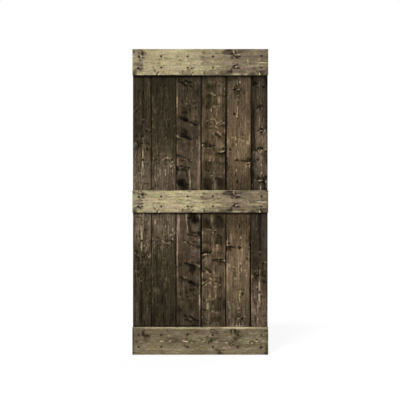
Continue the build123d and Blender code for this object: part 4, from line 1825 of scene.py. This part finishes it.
LOWER_RAIL = marks(
    # The first five marks pale a band along the rail's upper edge: a painted highlight where its top face
    # catches the light.
    (188,-328,7,90,-50), (188,-118,7,130,-90), (188,77,7,50,-40), (188,247,7,115,-95), (188,412,7,50,-30),
    (171,-391,8,6,80), (151,-400,15,7,120), (138,-394,7,12,90), (134,-371,7,20,90,-10),
    (122,-376,14,18,50,0,80), (102,-386,5,28,40), (163,-438,14,20,20), (95,-445,4,10,80), (170,-231,6,6,90),
    (94,-270,4,22,-100), (101,-283,3,15,40), (94,-210,6,8,-90), (86,-230,4,7,-70), (80,-230,3,6,50),
    (115,-198,12,40,35), (88,-188,6,30,30), (95,-233,5,8,40), (100,-164,8,14,50), (134,-220,7,12,-50),
    (148,-158,10,16,-30), (94,-104,4,18,-170,4), (87,-120,3,16,60), (102,-90,3,14,50), (93,-58,3,26,100),
    (86,-61,4,10,-90), (116,-98,10,14,30), (110,-63,8,8,30), (136,-95,6,6,80), (137,-82,5,5,-60),
    (150,-86,4,8,40,40), (56,-98,6,6,60), (67,-109,4,10,60,50), (160,-31,7,16,60,-25),
    (157,17,12,30,25,0,-60), (176,84,4,13,90), (166,69,8,4,70), (168,99,6,6,80), (156,84,4,12,90),
    (136,84,5,5,100), (148,117,20,20,20), (118,14,4,12,40,-20), (103,12,4,10,70), (128,46,4,13,60,-25),
    (114,46,4,9,50,-25), (120,58,4,4,-50), (88,26,3,12,90), (85,40,4,8,80), (95,22,4,9,-140),
    (108,78,13,10,80,0,60), (96,72,8,9,50), (86,57,9,4,100), (112,102,10,16,50), (95,154,3,26,90),
    (95,182,3,10,70), (86,180,4,8,-80), (94,114,4,12,-50), (33,116,5,10,60), (20,133,13,10,80),
    (10,138,8,28,60), (33,158,5,10,40), (170,214,9,10,90,0,-60), (170,228,6,4,-90), (172,244,10,14,100),
    (152,245,15,8,100), (138,264,8,8,120), (160,277,14,18,40), (148,302,14,26,25), (116,242,11,15,90),
    (106,252,7,10,60), (130,287,10,16,40), (158,182,9,18,40,0,80), (138,215,5,5,40), (128,205,9,9,-30),
    (104,282,5,20,-40), (95,327,4,24,-40), (92,234,7,8,50), (86,208,5,6,60), (70,206,6,5,80),
    (72,225,6,5,70), (72,216,4,4,-90), (62,216,4,6,60), (53,265,6,8,50), (76,312,14,60,12,0,70),
    (94,362,4,12,70), (85,347,8,4,80), (83,360,4,9,-90), (93,390,3,10,-140,-10), (87,378,3,10,70),
    (106,394,6,8,90), (124,397,8,5,-50), (45,421,5,6,120), (66,420,10,8,20,0,-80), (170,459,9,12,70,0,60),
    (126,469,22,5,60), (56,460,30,12,40), (12,461,13,14,100), (93,444,4,20,-50), (90,-468,110,5,40),
    (26,-248,20,160,-22), (36,207,18,60,-28), (40,-28,14,70,-18), (33,342,16,60,-15), (90,-472,110,6,40),
    (120,-390,8,10,40), (122,-354,10,12,60), (150,-391,4,5,80), (100,-452,10,10,30), (93,-377,5,18,35),
    (25,-152,30,300,-20), (66,-387,6,20,-40), (101,-332,4,14,-30), (85,-232,18,60,25), (115,-162,12,50,25),
    (118,-92,6,10,40), (101,-95,3,12,60), (115,-2,8,10,40), (101,18,4,8,70), (93,73,10,12,80),
    (118,58,15,10,30), (103,93,8,12,50), (155,113,12,14,50), (118,126,12,14,35), (87,58,10,5,60),
    (183,-7,5,22,-60), (181,38,7,25,-60), (145,-42,25,18,-25), (80,-20,12,10,-35), (50,-132,8,30,-25),
    (25,88,12,40,-35), (40,68,10,20,-30), (40,-20,14,12,-30), (178,226,6,8,90), (165,238,12,7,90),
    (157,215,8,10,90), (155,260,8,10,70), (122,268,10,18,60), (110,288,6,35,40), (80,213,6,9,70),
    (92,226,6,8,70), (145,330,8,6,40), (107,460,8,10,50), (35,466,35,5,80), (170,268,10,10,40),
    (163,393,5,25,-30), (135,428,8,25,-35), (85,318,8,30,-40), (80,336,10,6,-30), (60,198,12,25,-35),
    (50,178,10,30,-40), (38,308,10,25,-35), (45,368,8,30,-30),
)


def whole_board(
    upper: Sequence[Mark | Knot], repeat: Repeat, about: float, slide: float
) -> list[Mark | Knot]:
    """A board's marks above its middle, and their copies below it."""
    return [*upper, *(below(item, repeat, about, slide) for item in upper)]


def cooled(*cools: float) -> list[Mark]:
    """Broad marks that make a board bluer, or yellower, from its top to its foot.

    Args:
        cools: How much bluer it is under the top rail, above the middle rail, behind it, below it and over
            the bottom rail.

    Returns:
        The marks.
    """
    places = ((1960, 150), (1640, 130), (1070, 270), (600, 130), (190, 170))
    return [Mark(0, along, 300, reach, 0, cool=cool) for (along, reach), cool in zip(places, cools)]


def shifted(items: Sequence[Mark | Knot], across: float, along: float) -> list[Mark | Knot]:
    """The same marks in another place."""
    return [replace(item, across=item.across + across, along=item.along + along) for item in items]


def squeezed(items: Sequence[Mark | Knot], share: float) -> list[Mark | Knot]:
    """The same marks on a narrower rail."""
    return [replace(item, across=item.across * share, width=item.width * share) for item in items]


# The door


@dataclass
class Door:
    """The whole door: its boards, rails and screws.

    Attributes:
        board_wood: The dark finish of the boards.
        upper_wood: The paler finish of the top and middle rails.
        lower_wood: The greyer finish of the bottom rail.
        steel: The screws' finish.
        board_olive: How green the boards' small dark marks are.
        rail_olive: How green the rails' are.
    """

    board_wood: Material
    upper_wood: Material
    lower_wood: Material
    steel: Material
    board_olive: float = 2.0
    rail_olive: float = 4.0

    def boards(self) -> list[Board]:
        """The six boards from left to right.

        Returns:
            The boards.
        """
        # Painted shadows on the left three boards: a dark strip under the top rail, and a darker one just
        # above the bottom rail.
        painted_rail_shadows = [Mark(0, 1942, 100, 5, 0.6), Mark(0, 196, 110, 4.5, 3.2)]
        # The long narrow marks beside the seams in each board's extra marks below are painted shade, or
        # painted light, in the V-joints.
        return [
            Board(
                "left_edge_board",
                Timber(
                    Log(10, 60, 5.5, 0.008, 16, 3),
                    density=2.13,
                    tint=0.6,
                    cool=0.02,
                    figure=[
                        *whole_board(LEFT_EDGE_BOARD, Repeat.TURNED, 1077.8, 3.6),
                        *marks((0,760,90,130,-20), (0,910,90,60,8), (0,540,90,120,-5), (62,560,4,330,-50)),
                        *cooled(0.09, -0.04, 0.08, -0.05, 0.11),
                    ],
                    contrast=1.1,
                    olive=self.board_olive,
                    curl=0.08,
                ),
                self.board_wood,
                left=EdgeForm.PLAIN,
                screw_offset=-22,
                seam_reach=(1.75, 0.9),
                face_shading=painted_rail_shadows,
            ),
            Board(
                "board_2",
                Timber(
                    Log(-30, 75, 6.0, 0.010, 22, 8),
                    density=2.16,
                    tint=1.05,
                    cool=0.06,
                    figure=[
                        *whole_board(BOARD_2, Repeat.MIRRORED, 1077.2, 0.4),
                        *marks((0,1890,100,60,10), (0,1250,100,70,5), (-86,560,4,330,-50)),
                        *cooled(0.03, -0.05, 0.05, 0.0, 0.04),
                    ],
                    contrast=1.1,
                    olive=self.board_olive,
                    curl=0.08,
                    straight=0.9,
                ),
                self.board_wood,
                screw_offset=-16,
                seam_reach=(1.45, 1.05),
                face_shading=painted_rail_shadows,
            ),
            Board(
                "board_3",
                Timber(
                    Log(20, 52, 5.0, 0.006, 18, 13),
                    density=1.885,
                    tint=0.1,
                    cool=0.025,
                    figure=[
                        *whole_board(BOARD_3, Repeat.TURNED, 1072, -3.8),
                        *marks((84,700,3.5,330,70), (60,950,14,26,-80), (0,1890,100,60,7)),
                        *marks((0,1560,100,70,8), (0,930,100,60,8), (0,500,100,150,-5)),
                        *cooled(0.04, -0.01, 0.05, -0.01, 0.03),
                    ],
                    contrast=1.3,
                    olive=self.board_olive,
                    curl=0.12,
                    straight=0.6,
                ),
                self.board_wood,
                screw_offset=-6,
                seam_reach=(1.35, 1.15),
                face_shading=painted_rail_shadows,
            ),
            Board(
                "board_4",
                Timber(
                    Log(-15, 45, 5.2, 0.007, 20, 21),
                    density=1.652,
                    tint=0.3,
                    cool=-0.085,
                    figure=[
                        *whole_board(BOARD_4, Repeat.TURNED, 1059.5, -0.6),
                        *cooled(0.11, -0.02, 0.07, 0.02, 0.10),
                    ],
                    contrast=1.25,
                    olive=self.board_olive,
                    curl=0.12,
                    straight=0.6,
                ),
                self.board_wood,
                screw_offset=-4,
                seam_reach=(1.75, 1.1),
                # A painted lighter strip just above the bottom rail.
                face_shading=[Mark(0, 198, 110, 6, -0.6)],
            ),
            Board(
                "board_5",
                Timber(
                    Log(0, 40, 5.6, 0.005, 14, 34),
                    density=1.436,
                    tint=0.25,
                    cool=-0.11,
                    figure=[
                        *whole_board(BOARD_5, Repeat.TURNED, 1052.4, -1.2),
                        *marks((0,500,100,330,8), (0,930,100,60,13), (0,270,100,70,-7), (0,1800,100,140,-4)),
                        *marks((-84,1560,4,350,-35), (-84,450,4,250,-50), (80,560,5,400,50)),
                        *cooled(0.15, 0.0, -0.02, 0.01, 0.15),
                    ],
                    contrast=1.15,
                    olive=self.board_olive,
                    curl=0.08,
                    straight=0.8,
                ),
                self.board_wood,
                screw_offset=-7,
                seam_reach=(1.35, 0.85),
                # A painted lighter strip just above the bottom rail.
                face_shading=[Mark(0, 198, 110, 6, -0.8)],
            ),
            Board(
                "right_edge_board",
                Timber(
                    Log(-8, 58, 5.4, 0.008, 15, 55),
                    density=2.165,
                    tint=0.0,
                    cool=0.045,
                    figure=[
                        *RIGHT_EDGE_BOARD,
                        *shifted(LEFT_EDGE_BOARD, -6.0, -925.5),
                        *marks((0,700,100,300,5), (-55,560,3.5,400,-80)),
                        *cooled(0.15, 0.03, 0.07, -0.09, 0.0),
                    ],
                    contrast=1.15,
                    olive=self.board_olive,
                    curl=0.10,
                    straight=0.7,
                ),
                self.board_wood,
                right=EdgeForm.PLAIN,
                screw_offset=14,
                seam_reach=(1.45, 1.05),
            ),
        ]

    def rails(self, screw_xs: Sequence[float]) -> list[Rail]:
        """The three rails from the top down, with screws at the given places.

        Args:
            screw_xs: Where the screws stand along the door's width.

        Returns:
            The rails.
        """
        top_width, middle_width = 182.7, 156.0
        # The top rail's added mark and the middle rail's marks at across 0 darken the rails' lower edges:
        # painted shade. The mark at the middle rail's upper edge darkens that edge too.
        top_marks = [*UPPER_RAIL, Mark(0, -235, 2.5, 250, 0.7)]
        middle_marks = [
            *squeezed(UPPER_RAIL, middle_width / top_width),
            *marks((0,0,5,600,50), (middle_width,-250,4,260,50), (0,-420,5,70,40)),
        ]
        plans = [
            ("top_rail", Log(40, 70, 5.0, 0.02, 10, 5), 0.27, top_marks, self.upper_wood, 52.0),
            ("middle_rail", Log(35, 68, 5.0, 0.02, 10, 5), 0.27, middle_marks, self.upper_wood, 44.0),
            ("bottom_rail", Log(110, 55, 5.5, 0.015, 12, 9), 1.08, LOWER_RAIL, self.lower_wood, 55.0),
        ]
        made = []
        for name, tree, density, figure, finish, inset in plans:
            timber = Timber(tree, density, 0.0, 0.0, figure, contrast=1.1, olive=self.rail_olive, curl=0.08)
            made.append(Rail(name, timber, finish, screw_xs=screw_xs, screw_inset=inset))
        return made

    def build(self) -> list[tuple[Piece, str]]:
        """Builds every piece.

        Returns:
            Each piece with the record's slot of its finish.
        """
        boards = self.boards()
        made = [(board.build(), "dark_stained_board") for board in boards]
        for rail in self.rails([board.middle + board.screw_offset for board in boards]):
            slot = "grey_stained_rail" if rail.finish is self.lower_wood else "pale_stained_rail"
            made.append((rail.build(), slot))
            made.append((ScrewRow(rail, self.steel).build(), "black_screw"))
        return made


# Stage


@dataclass(frozen=True)
class Lamp:
    """A broad, soft, distant lamp: the direction that it shines from, how wide it looks and how strong it is.

    Attributes:
        name: The lamp's name.
        source: A point that it shines from, towards the origin.
        width: How wide it looks, in degrees.
        strength: Its strength in watts on each square metre.
    """

    name: str
    source: tuple[float, float, float]
    width: float
    strength: float


@dataclass(frozen=True)
class Stage:
    """The pale floor, the soft studio light and the camera, in metres.

    Attributes:
        camera_distance: How far the camera stands from the door's face.
        picture_height: The height that the square picture covers at the face.
        camera_x: The camera's place across.
        camera_z: The camera's height.
        ambient: Strength of the light that comes from all round.
        floor_glow: How brightly the floor glows in the picture.
        lamps: The lamps.
    """

    camera_distance: float = 8.0
    picture_height: float = 2.789
    camera_x: float = -0.002
    camera_z: float = 1.080
    ambient: float = 0.32
    floor_glow: float = 1.12
    lamps: tuple[Lamp, ...] = (
        Lamp("key", (-0.35, -1.0, 0.95), 16.0, 2.05),
        Lamp("back", (0.5, 1.0, 0.6), 30.0, 1.1),
    )

    def camera(self, face: float) -> None:
        """A camera that looks straight at the door's face.

        Args:
            face: Where the face stands, along Y.
        """
        data = bpy.data.cameras.new("camera")
        data.lens = data.sensor_width * self.camera_distance / self.picture_height
        holder = bpy.data.objects.new("camera", data)
        holder.location = (self.camera_x, face - self.camera_distance, self.camera_z)
        holder.rotation_euler = (math.pi / 2, 0, 0)
        bpy.context.scene.collection.objects.link(holder)
        bpy.context.scene.camera = holder

    def light(self) -> None:
        """Soft lamps, and a world that is white where the camera or a reflection sees it."""
        for lamp in self.lamps:
            data = bpy.data.lights.new(lamp.name, "SUN")
            data.angle = math.radians(lamp.width)
            data.energy = lamp.strength
            holder = bpy.data.objects.new(lamp.name, data)
            holder.rotation_euler = Vector(lamp.source).to_track_quat("Z", "Y").to_euler()
            bpy.context.scene.collection.objects.link(holder)
        world = bpy.data.worlds.new("studio")
        world.use_nodes = True
        world.node_tree.nodes.clear()
        graph = Graph(world.node_tree)
        rays = graph.node("ShaderNodeLightPath").outputs
        seen = graph.math("MAXIMUM", rays["Is Camera Ray"], rays["Is Glossy Ray"])
        seen = graph.math("MAXIMUM", seen, rays["Is Transmission Ray"])
        background = graph.node("ShaderNodeBackground")
        background.inputs["Color"].default_value = (1.0, 1.0, 1.0, 1.0)
        graph.feed(background.inputs["Strength"], graph.ramp(seen, 0.0, 1.0, self.ambient, 1.0))
        graph.feed(graph.node("ShaderNodeOutputWorld").inputs["Surface"], background.outputs[0])
        bpy.context.scene.world = world

    def floor(self) -> None:
        """A pale floor that keeps the door's soft shadow and is white elsewhere."""
        made, graph = new_material("pale floor")
        matt = graph.node("ShaderNodeBsdfDiffuse")
        place = graph.node("ShaderNodeTexCoord").outputs["Object"]
        cloud = graph.noise(place, 1.5, 3.0)
        shade = graph.blend(cloud, 0.01, 0.86)
        graph.feed(matt.inputs["Color"], graph.combine(shade, shade, shade))
        glow = graph.node("ShaderNodeEmission")
        rays = graph.node("ShaderNodeLightPath").outputs
        share = graph.times(rays["Is Camera Ray"], 0.75)
        blend = graph.node("ShaderNodeMixShader")
        graph.feed(blend.inputs[0], share)
        graph.feed(blend.inputs[1], matt.outputs[0])
        graph.feed(blend.inputs[2], glow.outputs[0])
        glow.inputs["Strength"].default_value = self.floor_glow
        graph.feed(graph.node("ShaderNodeOutputMaterial").inputs["Surface"], blend.outputs[0])
        half = 30.0
        corners = np.array([[-half, -half, 0], [half, -half, 0], [half, half, 0], [-half, half, 0]])
        new_piece("floor", corners, np.array([[0, 1, 2, 3]]), made)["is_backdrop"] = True


def main() -> None:
    """Builds the door around its frame, and its stage."""
    logging.basicConfig(level=logging.INFO, format="%(message)s")
    bpy.context.scene.view_settings.view_transform = "Standard"
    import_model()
    cad_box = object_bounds()
    effects = WoodEffects()
    dark = StainedWood(
        name="dark stained board",
        wood=(0.40, 0.289, 0.189),
        absorbance=(1.0, 1.015, 1.06),
        late=0.45,
        year=0.25,
        streaks=(
            Streak(26, 420, 0.35),
            Streak(8, 320, 0.45),
            Streak(5, 130, 0.5),
            Streak(5, 18, 0.6),
            Streak(3, 60, 0.5),
            Streak(1.1, 30, 0.3),
        ),
        rubbed=0.3,
        roughness=0.68,
    )
    pale = StainedWood(
        name="pale stained rail",
        wood=(0.58, 0.512, 0.285),
        absorbance=(1.0, 1.13, 0.98),
        late=0.22,
        year=0.10,
        streaks=(
            Streak(20, 400, 0.15),
            Streak(8, 140, 0.2),
            Streak(6, 35, 0.25),
            Streak(3, 60, 0.2),
            Streak(1.1, 30, 0.15),
        ),
        rubbed=0.25,
        roughness=0.66,
    )
    grey = StainedWood(
        name="grey stained rail",
        wood=(0.58, 0.49, 0.287),
        absorbance=(1.0, 1.06, 1.04),
        late=0.26,
        year=0.12,
        streaks=(
            Streak(20, 400, 0.18),
            Streak(8, 140, 0.24),
            Streak(6, 35, 0.3),
            Streak(3, 60, 0.2),
            Streak(1.1, 30, 0.15),
        ),
        rubbed=0.5,
        roughness=0.68,
    )
    door = Door(*(finish.material(effects) for finish in (dark, pale, grey, BlackSteel())))
    for piece, slot in door.build():
        log.info("%s: %d faces", piece.name, len(piece.data.polygons))
    stage = Stage()
    stage.floor()
    stage.light()
    stage.camera(cad_box[0].y)


if __name__ == "__main__":
    main()
